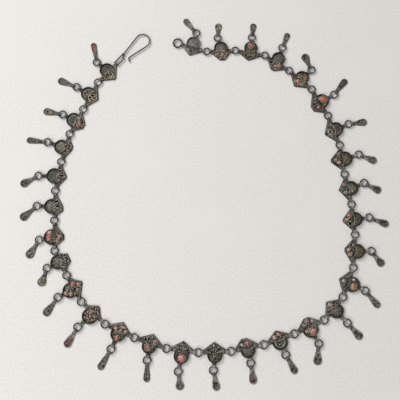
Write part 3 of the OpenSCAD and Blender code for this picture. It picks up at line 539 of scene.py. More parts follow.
@dataclass(frozen=True)
class Finish:
    """A procedural surface: a mottled colour, patches, a worn colour on what stands proud, partly wear and
    partly painted highlight, and grain.

    Mottle, patch and grain sizes are in millimetres, and colours are linear. Each pair of levels is the
    part of the noise's range over which a look comes in.
    """

    name: str
    dark: Colour
    light: Colour
    patch: Colour
    # The colour of what stands proud, partly wear and partly painted highlight
    worn: Colour | None = None
    shine: float = 0.5
    patch_share: float = 0.3
    mottle: float = 2.2
    patch_size: float = 7.0
    grain: float = 0.45
    grain_depth: float = 0.05
    metallic: float = 0.0
    roughness: float = 0.5
    wear_from: float = 1.25
    wear_to: float = 1.6
    coat: float = 0.0
    octaves: float = 3.0
    mottle_octaves: float = 4.0
    light_levels: Span = (0.4, 0.6)
    wear_and_highlight_levels: Span = (0.3, 0.6)
    gloss_levels: Span = (0.3, 0.7)
    gloss_step: float = 0.1
    least_patch: float = 0.62
    most_patch: float = 0.3
    patch_edge: float = 0.1
    bump: float = 0.6

    def material(self) -> Material:
        """Gives the finish's material, which is made when it is first asked for.

        Returns:
            The material.
        """
        made = bpy.data.materials.get(self.name)
        if made is not None:
            return made
        made = bpy.data.materials.new(self.name)
        made.use_nodes = True
        tree = made.node_tree
        shader = tree.nodes["Principled BSDF"]
        shader.inputs["Metallic"].default_value = self.metallic
        shader.inputs["Coat Weight"].default_value = self.coat
        shader.inputs["Specular IOR Level"].default_value = self.shine
        place = tree.nodes.new("ShaderNodeTexCoord").outputs["Object"]
        mottle = self.noise(tree, place, self.mottle, self.mottle_octaves)
        patches = self.noise(tree, place, self.patch_size, self.octaves)
        colour = self.blend(tree, self.span(tree, mottle, self.light_levels), self.dark, self.light)
        edge = self.least_patch - self.most_patch * self.patch_share
        patched = self.span(tree, patches, (edge, edge + self.patch_edge))
        colour = self.blend(tree, patched, colour, self.patch)
        # What stands proud takes the worn colour, partly wear and partly painted highlight, which leaves the
        # lower parts darker
        if self.worn is not None:
            colour = self.blend(tree, self.wear(tree, place, mottle), colour, self.worn)
        tree.links.new(colour, shader.inputs["Base Color"])
        gloss = (self.roughness + self.gloss_step, self.roughness - self.gloss_step)
        tree.links.new(self.span(tree, mottle, self.gloss_levels, gloss), shader.inputs["Roughness"])
        bump = tree.nodes.new("ShaderNodeBump")
        bump.inputs["Strength"].default_value = self.bump
        bump.inputs["Distance"].default_value = self.grain_depth * MM
        tree.links.new(self.noise(tree, place, self.grain, self.octaves), bump.inputs["Height"])
        tree.links.new(bump.outputs[0], shader.inputs["Normal"])
        return made

    def wear(self, tree: NodeTree, place: NodeSocket, mottle: NodeSocket) -> NodeSocket:
        """Finds the share of the worn colour, partly wear and partly painted highlight: by how proud a point
        stands, and by its mottle.

        Args:
            tree: The material's nodes.
            place: The point's coordinates.
            mottle: The mottle there.

        Returns:
            The share of the worn colour, which is partly wear and partly painted highlight.
        """
        height = tree.nodes.new("ShaderNodeSeparateXYZ")
        tree.links.new(place, height.inputs[0])
        proud = self.span(tree, height.outputs["Z"], (self.wear_from * MM, self.wear_to * MM))
        share = tree.nodes.new("ShaderNodeMath")
        share.operation = "MULTIPLY"
        tree.links.new(proud, share.inputs[0])
        tree.links.new(self.span(tree, mottle, self.wear_and_highlight_levels), share.inputs[1])
        return share.outputs[0]

    @staticmethod
    def noise(tree: NodeTree, place: NodeSocket, size: float, octaves: float) -> NodeSocket:
        """Adds a noise pattern.

        Args:
            tree: The material's nodes.
            place: The coordinates it lies on.
            size: Size of its blotches, in millimetres.
            octaves: Its octaves.

        Returns:
            Its value.
        """
        node = tree.nodes.new("ShaderNodeTexNoise")
        node.inputs["Scale"].default_value = 1 / (size * MM)
        node.inputs["Detail"].default_value = octaves
        tree.links.new(place, node.inputs["Vector"])
        return node.outputs[0]

    @staticmethod
    def span(tree: NodeTree, value: NodeSocket, levels: Span, becomes: Span = (0.0, 1.0)) -> NodeSocket:
        """Maps one range of a value to another.

        Args:
            tree: The material's nodes.
            value: The value.
            levels: The range's ends.
            becomes: What the ends become.

        Returns:
            The mapped value.
        """
        node = tree.nodes.new("ShaderNodeMapRange")
        for socket, number in zip(node.inputs[1:5], (*levels, *becomes)):
            socket.default_value = number
        tree.links.new(value, node.inputs[0])
        return node.outputs[0]

    @staticmethod
    def blend(tree: NodeTree, share: NodeSocket, first: Colour | NodeSocket, second: Colour) -> NodeSocket:
        """Mixes two colours.

        Args:
            tree: The material's nodes.
            share: How much of the second shows.
            first: The first colour, or the socket that gives it.
            second: The second colour.

        Returns:
            The mixed colour.
        """
        node = tree.nodes.new("ShaderNodeMix")
        node.data_type = "RGBA"
        tree.links.new(share, node.inputs["Factor"])
        first_socket, second_socket = node.inputs[6:8]
        if isinstance(first, tuple):
            first_socket.default_value = (*first, 1)
        else:
            tree.links.new(first, first_socket)
        second_socket.default_value = (*second, 1)
        return node.outputs[2]


def silver(name: str, dark: Colour, light: Colour, patch: Colour, worn: Colour, **other: float) -> Finish:
    """Gives a tarnished silver.

    Args:
        name: The finish's name.
        dark: Colour of the dark mottles.
        light: Colour of the light mottles.
        patch: Colour of its patches.
        worn: Colour where it stands proud, partly wear and partly painted highlight.
        other: Any other sizes of the finish.

    Returns:
        The finish.
    """
    sizes = {"metallic": 0.5, "roughness": 0.48, **other}
    return Finish(name, dark, light, patch, worn, **sizes)


# The plaques' silver by its patina: the plate, the floor of the cup, and the roof strips
PLATE = {
    GREY: silver("grey_plate", (0.01, 0.009, 0.008), (0.243, 0.21, 0.174), (0.122, 0.115, 0.092),
                 (0.537, 0.463, 0.389)),
    OLIVE: silver("olive_plate", (0.011, 0.01, 0.007), (0.262, 0.231, 0.158), (0.175, 0.137, 0.089),
                  (0.592, 0.519, 0.383)),
    BROWN: silver("brown_plate", (0.011, 0.008, 0.006), (0.233, 0.175, 0.136), (0.16, 0.104, 0.074),
                  (0.509, 0.397, 0.322)),
    GREEN: silver("green_plate", (0.008, 0.008, 0.006), (0.193, 0.183, 0.145), (0.105, 0.119, 0.086),
                  (0.451, 0.412, 0.35)),
    WORN: silver("worn_plate", (0.051, 0.049, 0.045), (0.205, 0.196, 0.18), (0.135, 0.133, 0.118),
                 (0.221, 0.212, 0.194)),
}
CUP_SKIN = {"mottle": 1.3, "roughness": 0.55, "metallic": 0.35, "wear_from": 1.25, "wear_to": 1.75}
CUPS = {
    GREY: silver("grey_cup", (0.008, 0.007, 0.006), (0.136, 0.125, 0.103), (0.066, 0.065, 0.051),
                 (0.238, 0.216, 0.181), **CUP_SKIN),
    OLIVE: silver("olive_cup", (0.008, 0.007, 0.004), (0.136, 0.118, 0.076), (0.073, 0.068, 0.042),
                  (0.238, 0.206, 0.144), **CUP_SKIN),
    BROWN: silver("brown_cup", (0.007, 0.005, 0.004), (0.132, 0.103, 0.078), (0.071, 0.061, 0.043),
                  (0.226, 0.185, 0.146), **CUP_SKIN),
    GREEN: silver("green_cup", (0.006, 0.006, 0.004), (0.101, 0.102, 0.077), (0.052, 0.061, 0.042),
                  (0.203, 0.195, 0.156), **CUP_SKIN),
}
CUPS[WORN] = PLATE[WORN]
STRIPS = {
    GREY: silver("grey_strip", (0.02, 0.019, 0.016), (0.115, 0.108, 0.094), (0.08, 0.074, 0.062),
                 (0.26, 0.245, 0.215)),
    OLIVE: silver("olive_strip", (0.02, 0.018, 0.013), (0.105, 0.098, 0.076), (0.075, 0.068, 0.05),
                  (0.23, 0.215, 0.175)),
    BROWN: silver("brown_strip", (0.022, 0.018, 0.015), (0.12, 0.1, 0.083), (0.085, 0.068, 0.055),
                  (0.25, 0.218, 0.185)),
    GREEN: silver("green_strip", (0.02, 0.019, 0.015), (0.11, 0.104, 0.086), (0.075, 0.072, 0.056),
                  (0.25, 0.235, 0.2)),
    WORN: silver("worn_strip", (0.036, 0.034, 0.032), (0.17, 0.163, 0.15), (0.12, 0.116, 0.103),
                 (0.3, 0.288, 0.262)),
}

# The dark silvers that all plaques share, which partly paint shade, the relief's finishes and the crusts
# Dark silver of the sheet, the cup's disc and its rim: its darkness is painted shade along the cup's rim and
# the plate's outline
RIM_SHADE = silver("shaded_cup_rim", (0.012, 0.012, 0.011), (0.055, 0.053, 0.047), (0.045, 0.047, 0.04),
             (0.1, 0.096, 0.087), wear_from=2.1, wear_to=2.4)
# The medallion's ground: blackened silver, darkened further as painted shade of the recess
GROUND_SHADE = silver("blackened_and_shaded_ground", (0.01, 0.009, 0.008), (0.06, 0.054, 0.046), (0.05, 0.047, 0.038),
                (0.1, 0.094, 0.083), mottle=1.0)
TONES = {
    Tone.WORN: silver("worn_relief", (0.066, 0.06, 0.05), (0.274, 0.248, 0.208), (0.185, 0.151, 0.119),
                      (0.63, 0.566, 0.475), mottle=1.2),
    Tone.ROSE: silver("rose_relief", (0.077, 0.044, 0.034), (0.261, 0.165, 0.132), (0.172, 0.132, 0.106),
                      (0.484, 0.367, 0.307), mottle=1.2, metallic=0.4),
}
CRUSTS = {
    Crust.TEAL: Finish("teal_crust", (0.03, 0.043, 0.039), (0.075, 0.11, 0.097), (0.12, 0.155, 0.14),
                       roughness=0.8, mottle=0.8),
    Crust.GREEN: Finish("green_crust", (0.032, 0.045, 0.028), (0.082, 0.108, 0.066), (0.115, 0.14, 0.1),
                        roughness=0.8, mottle=0.8),
    Crust.OLIVE: Finish("olive_crust", (0.045, 0.044, 0.024), (0.12, 0.115, 0.064), (0.14, 0.115, 0.07),
                        roughness=0.8, mottle=0.8),
    Crust.RUST: Finish("rust_crust", (0.055, 0.034, 0.025), (0.15, 0.088, 0.066), (0.11, 0.088, 0.066),
                       roughness=0.75, mottle=0.8),
    Crust.GOLD: Finish("gold_crust", (0.075, 0.055, 0.028), (0.22, 0.16, 0.082), (0.18, 0.15, 0.1),
                       roughness=0.6, mottle=0.8),
}

# The tabs and eyes, the empty sockets, the wires and the drops
DULL = {"metallic": 0.2, "roughness": 0.6, "shine": 0.3}
TAB = silver("side_tab", (0.045, 0.042, 0.038), (0.135, 0.129, 0.114), (0.1, 0.095, 0.081),
             (0.19, 0.181, 0.162), **DULL)
# Brighter copy of the tab silver: painted sheen on the tabs and eyes of the listed plaques
SHEEN_TAB = silver("sheen_tab", (0.07, 0.067, 0.061), (0.235, 0.227, 0.205), (0.17, 0.164, 0.145),
                    (0.3, 0.29, 0.263), **DULL)
# Near-black floor of the empty sockets and the stones' seats: blackening, with the socket's shade painted in
HOLLOW_SHADE = Finish("blackened_and_shaded_socket", (0.003, 0.003, 0.003), (0.01, 0.0095, 0.008), (0.014, 0.011, 0.009),
                roughness=0.9, mottle=0.7, shine=0.05)
WIRE = silver("ring_wire", (0.012, 0.011, 0.01), (0.056, 0.053, 0.048), (0.039, 0.037, 0.031),
              (0.085, 0.081, 0.072), wear_from=1.7, wear_to=2.1)
HOOK_WIRE = silver("hook_wire", (0.02, 0.019, 0.016), (0.063, 0.059, 0.052), (0.045, 0.042, 0.035),
                   (0.13, 0.122, 0.108), wear_from=1.7, wear_to=2.0)
BEATEN = {"grain": 0.9, "grain_depth": 0.12, "wear_from": 0.45, "wear_to": 0.72, **DULL}
PADDLE = silver("hammered_paddle", (0.01, 0.009, 0.008), (0.095, 0.089, 0.078), (0.06, 0.056, 0.049),
                (0.157, 0.149, 0.134), **BEATEN)
# Brighter copy of the paddle silver: painted sheen on the listed drops
SHEEN_PADDLE = silver("sheen_paddle", (0.015, 0.014, 0.013), (0.159, 0.152, 0.138), (0.104, 0.098, 0.086),
                       (0.275, 0.266, 0.241), **BEATEN)
HAMMERED = {**BEATEN, "mottle": 1.9, "wear_from": 0.55, "wear_to": 0.8}
DISHES = {
    Dish.DARK: silver("dark_dish", (0.007, 0.007, 0.006), (0.134, 0.123, 0.106), (0.094, 0.086, 0.071),
                      (0.265, 0.246, 0.215), **HAMMERED),
    Dish.BROWN: silver("brown_dish", (0.009, 0.006, 0.006), (0.226, 0.178, 0.144), (0.159, 0.121, 0.099),
                       (0.408, 0.346, 0.291), **HAMMERED),
    Dish.RED: silver("red_dish", (0.015, 0.006, 0.004), (0.277, 0.13, 0.108), (0.194, 0.11, 0.092),
                     (0.417, 0.284, 0.242), **HAMMERED),
    Dish.OLIVE: silver("olive_dish", (0.054, 0.049, 0.032), (0.357, 0.323, 0.223), (0.271, 0.228, 0.158),
                       (0.465, 0.432, 0.315), **HAMMERED),
    Dish.GREY: silver("grey_dish", (0.009, 0.008, 0.007), (0.198, 0.185, 0.161), (0.141, 0.131, 0.11),
                      (0.388, 0.367, 0.326), **HAMMERED),
}

# The stones, and the cloth under the belt
GEMS = {
    Gem.CORAL: Finish("red_coral", (0.25, 0.075, 0.06), (0.46, 0.185, 0.15), (0.52, 0.33, 0.28),
                      roughness=0.34, mottle=0.9, patch_size=2.0, patch_share=0.2, coat=0.25),
    Gem.BRIGHT: Finish("bright_coral", (0.33, 0.09, 0.075), (0.58, 0.18, 0.155), (0.62, 0.36, 0.31),
                       roughness=0.32, mottle=1.5, patch_size=2.6, patch_share=0.3, coat=0.25),
    Gem.ORANGE: Finish("orange_coral", (0.25, 0.05, 0.028), (0.48, 0.105, 0.058), (0.46, 0.17, 0.1),
                       roughness=0.34, mottle=1.2, patch_size=2.6, patch_share=0.3, coat=0.25),
    Gem.DULL: Finish("dull_coral", (0.15, 0.045, 0.038), (0.3, 0.115, 0.098), (0.36, 0.21, 0.18),
                     roughness=0.42, mottle=1.1, patch_size=2.2, patch_share=0.35, coat=0.15),
    Gem.PINK: Finish("pink_stone", (0.2, 0.105, 0.096), (0.4, 0.25, 0.225), (0.55, 0.44, 0.4),
                     roughness=0.36, mottle=0.8, patch_size=1.4, patch_share=0.35, coat=0.2),
    Gem.AMBER: Finish("amber_stone", (0.16, 0.08, 0.04), (0.4, 0.23, 0.125), (0.52, 0.36, 0.22),
                      roughness=0.34, mottle=1.4, patch_size=2.4, patch_share=0.35, coat=0.25),
    Gem.TAN: Finish("tan_stone", (0.22, 0.15, 0.11), (0.45, 0.33, 0.25), (0.57, 0.47, 0.38), roughness=0.36,
                    mottle=0.9, patch_size=1.6, coat=0.2),
    Gem.GREEN: Finish("green_stone", (0.035, 0.06, 0.048), (0.12, 0.16, 0.135), (0.4, 0.46, 0.43),
                      roughness=0.36, mottle=0.9, patch_size=1.4, coat=0.2),
    Gem.TEAL: Finish("teal_stone", (0.015, 0.04, 0.032), (0.06, 0.125, 0.1), (0.12, 0.2, 0.17),
                     roughness=0.4, mottle=0.8, patch_size=1.4, coat=0.2),
    Gem.GARNET: Finish("garnet_stone", (0.11, 0.03, 0.032), (0.29, 0.1, 0.105), (0.47, 0.28, 0.28),
                       roughness=0.32, mottle=0.9, patch_size=1.5, patch_share=0.25, coat=0.3),
    Gem.SMOKY: Finish("smoky_stone", (0.035, 0.014, 0.012), (0.09, 0.042, 0.036), (0.16, 0.1, 0.09),
                      roughness=0.4, mottle=0.8, patch_size=1.4, coat=0.2),
    Gem.GREY: Finish("grey_stone", (0.09, 0.087, 0.078), (0.21, 0.203, 0.183), (0.3, 0.29, 0.265),
                     roughness=0.4, mottle=0.8, patch_size=1.4, coat=0.2),
    Gem.PALE: Finish("pale_stone", (0.34, 0.31, 0.26), (0.57, 0.53, 0.46), (0.72, 0.69, 0.62),
                     roughness=0.36, mottle=0.8, patch_size=1.4, coat=0.2),
}
LINEN = Finish("pale_linen", (0.745, 0.727, 0.699), (0.805, 0.789, 0.763), (0.785, 0.767, 0.74),
               roughness=0.9, mottle=1.7, patch_size=70.0, grain=1.1, grain_depth=0.12)


def slab(outline: Corners, low: float, high: float, edge: float = 0.0) -> BMesh:
    """Makes a flat block with a softened upper edge.

    Args:
        outline: The corners of its foot, in order.
        low: Height of its foot.
        high: Height of its top.
        edge: How much of the upper edge is rounded off.

    Returns:
        The block.
    """
    shape = bmesh.new()
    foot = shape.faces.new([shape.verts.new((x, y, low)) for x, y in outline])
    raise_faces(shape, [foot], high - low, edge)
    return shape


def raise_faces(shape: BMesh, faces: list[BMFace], rise: float, edge: float) -> None:
    """Raises flat faces into a closed block.

    Args:
        shape: The mesh that the faces are in.
        faces: The faces of the block's foot.
        rise: The block's height.
        edge: How much of its upper edge is rounded off.
    """
    grown = bmesh.ops.extrude_face_region(shape, geom=faces, use_keep_orig=True)["geom"]
    top = [item for item in grown if isinstance(item, BMVert)]
    bmesh.ops.translate(shape, verts=top, vec=(0, 0, rise))
    bmesh.ops.recalc_face_normals(shape, faces=shape.faces)
    if edge > 0:
        high = max(v.co.z for v in shape.verts)
        rim = [e for e in shape.edges if min(v.co.z for v in e.verts) > high - TINY and not inner(e)]
        bmesh.ops.bevel(shape, geom=rim, offset=edge, segments=2, profile=0.5, affect="EDGES", material=-1)


def inner(edge: BMEdge) -> bool:
    """Tells whether an edge lies within a flat stretch of a surface."""
    return len(edge.link_faces) == 2 and edge.calc_face_angle() < FLAT


def lathe(profile: Corners, steps: int, turn: float = 360.0, loop: bool = False) -> BMesh:
    """Turns a profile round the upright axis.

    Args:
        profile: Its points, as radius and height.
        steps: How many sides a full round is cut into.
        turn: How far it turns, in degrees.
        loop: Whether the profile's last point joins its first.

    Returns:
        The turned shape, closed at its ends.
    """
    shape = bmesh.new()
    points = [shape.verts.new((r, 0, z)) for r, z in profile]
    pairs = list(zip(points, points[1:]))
    if loop:
        pairs.append((points[-1], points[0]))
    edges = [shape.edges.new(pair) for pair in pairs]
    sweep(shape, edges, Vector(), Vector((0, 0, 1)), turn, max(2, round(steps * turn / 360)))
    finish_skin(shape)
    return shape


def sweep(shape: BMesh, edges: list[BMEdge], middle: Vector, axis: Vector,
          turn: float, steps: int) -> list[BMEdge]:
    """Sweeps edges round an axis.

    Args:
        shape: The mesh they are in.
        edges: The edges.
        middle: A point of the axis.
        axis: The axis's direction.
        turn: How far they turn, in degrees.
        steps: In how many steps.

    Returns:
        The edges at the sweep's end.
    """
    points = list(dict.fromkeys(v for e in edges for v in e.verts))
    last = bmesh.ops.spin(shape, geom=points + edges, cent=middle, axis=axis, angle=math.radians(turn),
                          steps=steps, use_merge=turn >= 360, use_duplicate=False)["geom_last"]
    return [item for item in last if isinstance(item, BMEdge)]


def oblong(half_x: float, half_y: float) -> Corners:
    """Gives the corners of a rectangle about the origin."""
    return [(-half_x, -half_y), (half_x, -half_y), (half_x, half_y), (-half_x, half_y)]


def circle(middle: float, r: float, sides: int) -> Corners:
    """Gives the round profile of a wire, as radius and height, where its middle has the given radius."""
    turns = [2 * math.pi * k / sides for k in range(sides)]
    return [(middle + r * math.cos(a), r * math.sin(a)) for a in turns]


def finish_skin(shape: BMesh) -> None:
    """Merges doubles, closes the ends and turns the faces outwards.

    Args:
        shape: The shape.
    """
    bmesh.ops.remove_doubles(shape, verts=shape.verts, dist=TINY)
    ends = [e for e in shape.edges if e.is_boundary]
    if ends:
        bmesh.ops.holes_fill(shape, edges=ends)
    bmesh.ops.recalc_face_normals(shape, faces=shape.faces)


def boss(r: float, rise: float, sides: int = 10, foot: float = 0.2) -> BMesh:
    """Makes a round boss whose middle is at the surface.

    Args:
        r: Its radius.
        rise: How far it stands out.
        sides: How many sides it has.
        foot: How deep it goes into the surface at most.

    Returns:
        The boss.
    """
    shape = bmesh.new()
    bmesh.ops.create_uvsphere(shape, u_segments=sides, v_segments=max(4, sides // 2), radius=1)
    bmesh.ops.scale(shape, vec=(r, r, rise), verts=shape.verts)
    for v in shape.verts:
        v.co.z = max(v.co.z, -foot)
    return shape


def roughen(shape: BMesh, size: float, depth: float, seed: float) -> None:
    """Moves a shape's points a little, so that it looks made by hand.

    Args:
        shape: The shape.
        size: Size of the unevenness.
        depth: How far a point moves at most.
        seed: Which unevenness it is.
    """
    for v in shape.verts:
        v.co += noise.noise_vector(v.co / size + Vector((seed, 2 * seed, 3 * seed))) * depth


def spot(x: float, y: float, z: float = 0.0, turn: float = 0.0) -> Matrix:
    """Gives the place of a part in its piece: a point and a turn in degrees."""
    return Matrix.Translation((x, y, z)) @ Matrix.Rotation(math.radians(turn), 4, "Z")


@dataclass
class Piece:
    """One piece of the belt, which grows part by part in millimetres."""

    name: str
    slot: str
    nodes: tuple[str, ...]
    mesh: BMesh = field(default_factory=bmesh.new)
    finishes: list[Finish] = field(default_factory=list)
    crease: float = 40.0

    def take(self, shape: BMesh, finish: Finish, place: Matrix, inlay: Finish | None = None) -> None:
        """Adds a part.

        Args:
            shape: The part, which is used up.
            finish: Its finish.
            place: Where it goes.
            inlay: Finish of the faces that are marked with material 1.
        """
        numbers = []
        for skin in (finish, inlay or finish):
            if skin not in self.finishes:
                self.finishes.append(skin)
            numbers.append(self.finishes.index(skin))
        for face in shape.faces:
            face.material_index = numbers[face.material_index]
            face.smooth = True
        shape.transform(place)
        carrier = bpy.data.meshes.new("part")
        shape.to_mesh(carrier)
        shape.free()
        self.mesh.from_mesh(carrier)
        bpy.data.meshes.remove(carrier)

    def deliver(self) -> Object:
        """Makes the piece's object, in metres, in place of its nodes.

        Returns:
            The object.
        """
        bmesh.ops.scale(self.mesh, vec=(MM, MM, MM), verts=self.mesh.verts)
        for edge in self.mesh.edges:
            if len(edge.link_faces) == 2 and edge.calc_face_angle() > math.radians(self.crease):
                edge.smooth = False
        skin = bpy.data.meshes.new(self.name)
        self.mesh.to_mesh(skin)
        self.mesh.free()
        made = bpy.data.objects.new(self.name, skin)
        for finish in self.finishes:
            skin.materials.append(finish.material())
        bpy.context.scene.collection.objects.link(made)
        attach(made, "root")
        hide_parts(*self.nodes)
        LOG.info("%s: %d faces", self.name, len(skin.polygons))
        return made


@dataclass(frozen=True)
class Eye:
    """The rolled eyes and the rings that run through them, as in the part's own formulas."""

    ring_r: float = 3.1
    wire: float = 0.57
    long: float = 2.6
    room: float = 0.12
    wall: float = 0.42
    lift: float = 0.1
    soft: float = 0.12
    sides: int = 28
    rolled: float = 348.0
    dent_size: float = 1.5
    dents: float = 0.035

    @property
    def bent_in(self) -> float:
        """How close the ring's inner side comes to its middle within a straight eye."""
        return math.sqrt((self.ring_r - self.wire) ** 2 - (self.long / 2) ** 2)

    @property
    def bore(self) -> float:
        """The eye's inner radius."""
        return (self.ring_r + self.wire - self.bent_in) / 2 + self.room

    @property
    def outer(self) -> float:
        """The eye's outer radius."""
        return self.bore + self.wall

    @property
    def to_ring(self) -> float:
        """Distance from the eye's axis to the ring's middle."""
        return (self.ring_r + self.wire + self.bent_in) / 2

    @property
    def z(self) -> float:
        """Height of the eye's axis."""
        return self.lift + self.outer

    def roll(self, long: float | None = None, seam: float = 200.0) -> BMesh:
        """Makes the rolled strip, with its axis along Y and a seam left open.

        Args:
            long: Its length, where it isn't the usual one.
            seam: Where its seam is, in degrees about its axis.

        Returns:
            The strip.
        """
        half = (long or self.long) / 2
        soft = self.soft
        profile = [
            (self.bore, -half + soft), (self.bore + soft, -half), (self.outer - soft, -half),
            (self.outer, -half + soft), (self.outer, half - soft), (self.outer - soft, half),
            (self.bore + soft, half), (self.bore, half - soft),
        ]
        shape = lathe(profile, self.sides, self.rolled, loop=True)
        bmesh.ops.rotate(shape, verts=shape.verts, matrix=Matrix.Rotation(math.radians(seam), 3, "Z"))
        bmesh.ops.rotate(shape, verts=shape.verts, matrix=Matrix.Rotation(math.radians(90), 3, "X"))
        return shape

    def ring(self, gap: float, sides: int = 10, steps: int = 40) -> BMesh:
        """Makes the ring, flat, with the joint of its wire left open.

        Args:
            gap: The joint's width, in degrees.
            sides: Sides of its wire.
            steps: Steps round it.

        Returns:
            The ring.
        """
        shape = lathe(circle(self.ring_r, self.wire, sides), steps, 360 - gap, loop=True)
        roughen(shape, self.dent_size, self.dents, self.ring_r)
        return shape


# The eyes and rings all along the chain, and the larger ones at its end
JUMP = Eye()
CLOSING = Eye(ring_r=3.9, wire=0.7)
COUNT = len(CHAIN)


def heading(i: int) -> Vector:
    """Gives the direction of a plaque along the chain."""
    turn = math.radians(CHAIN[i - 1].heading)
    return Vector((math.cos(turn), math.sin(turn)))


def ring_at(i: int) -> Vector:
    """Gives the middle of the ring after a plaque, from the running sum of the spans."""
    return START + sum((CHAIN[k - 1].span * heading(k) for k in range(1, i + 1)), Vector((0, 0)))


def at_plaque(i: int) -> Matrix:
    """Gives a plaque's place: X along the chain and Y into the loop."""
    middle = (ring_at(i - 1) + ring_at(i)) / 2
    return spot(middle.x, middle.y, 0, CHAIN[i - 1].heading)


def at_drop(i: int) -> Matrix:
    """Gives the place of a plaque's drop: its ring's middle, with X along the drop."""
    row = CHAIN[i - 1]
    return at_plaque(i) @ spot(row.drop_x, -row.drop_out, 0, row.swing - 90)


@dataclass
class MedallionSizes:
    """Sizes of the field between the roof strips: its ground, its beaded base and its relief."""

    half: float = 5.9
    base: float = 0.4
    sag: float = 1.6
    ground: float = 0.9
    base_steps: int = 8
    bead: float = 0.32
    bead_lift: float = 0.28
    beads: int = 15
    small_bead: float = 0.27
    small_bead_in: float = 2.1
    bar_half: float = 0.35
    bar_top: float = 1.8
    bar_edge: float = 0.22
    bar_lean: float = 28.0
    lattice_lean: float = 38.0
    lattice_step: float = 0.1
    bar_step: float = 1.75
    bars_beside: int = 4
    bars_mid: float = 3.0
    bar_room: float = 0.3
    bar_over: float = 0.2
    run_step: float = 0.2
    run_steps: int = 40
    shortest_run: int = 4
    scroll_r: float = 1.05
    scroll_wire: float = 0.34
    scroll_arc: float = 320.0
    scroll_turn: float = 60.0
    scroll_lift: float = 0.15
    scroll_spots: Spots = ((-3.6, 1.9), (-1.2, 2.1), (1.2, 2.1), (3.6, 1.9), (0.0, 4.4))
    grain_r: float = 0.45
    side_grains: Spots = ((4.6, 1.5), (4.3, 3.0), (3.1, 3.9), (1.5, 5.0), (1.4, 1.4))
    mid_grains: Spots = ((0.0, 5.9), (0.0, 1.4))
    usual_point: float = 8.0

    @property
    def sag_r(self) -> float:
        """Radius of the sagging base."""
        return (self.half ** 2 + self.sag ** 2) / (2 * self.sag)

    @property
    def sag_mid(self) -> float:
        """Place into the loop of the middle that the base sags round."""
        return self.base - self.sag + self.sag_r

    def base_y(self, x: float) -> float:
        """Gives the height of the sagging base over a place along the chain."""
        r = self.sag_r
        return self.base - self.sag + r - math.sqrt(r * r - x * x)


@dataclass
class CupSizes:
    """Sizes of the round cup: its floor, its disc and its rolled rim, and the collets of the stones."""

    sunk: float = 0.2
    floor: float = 1.1
    floor_rings: int = 14
    floor_sag: float = 0.12
    dome_rise: float = 0.6
    dome_less: float = 0.7
    steps: int = 56
    dent_size: float = 1.1
    dents: float = 0.09
    arc_in: float = 2.25
    arc_wire: float = 0.3
    arc_lift: float = 0.25
    arc_less: float = 0.4
    arc_reach: float = 0.8
    rim_top: float = 2.3
    rim_wall: float = 0.6
    rim_soft: float = 0.2
    rim_edge: float = 0.15
    rim_less: float = 0.3
    rim_reach: float = 0.9
    rim_dent_size: float = 2.0
    rim_dents: float = 0.05
    disc_low: float = 0.1
    disc_edge: float = 0.12
    disc_steps: int = 48
    near: float = 0.3
    collet_wall: float = 0.45
    collet_lip: float = 0.12
    collet_edge: float = 0.15
    collet_dip: float = 0.03
    collet_sunk: float = 0.2
    stone_room: float = 0.12
    small_collet: float = 1.9
    main_collet: float = 2.1
    main_steps: int = 28
    small_steps: int = 18


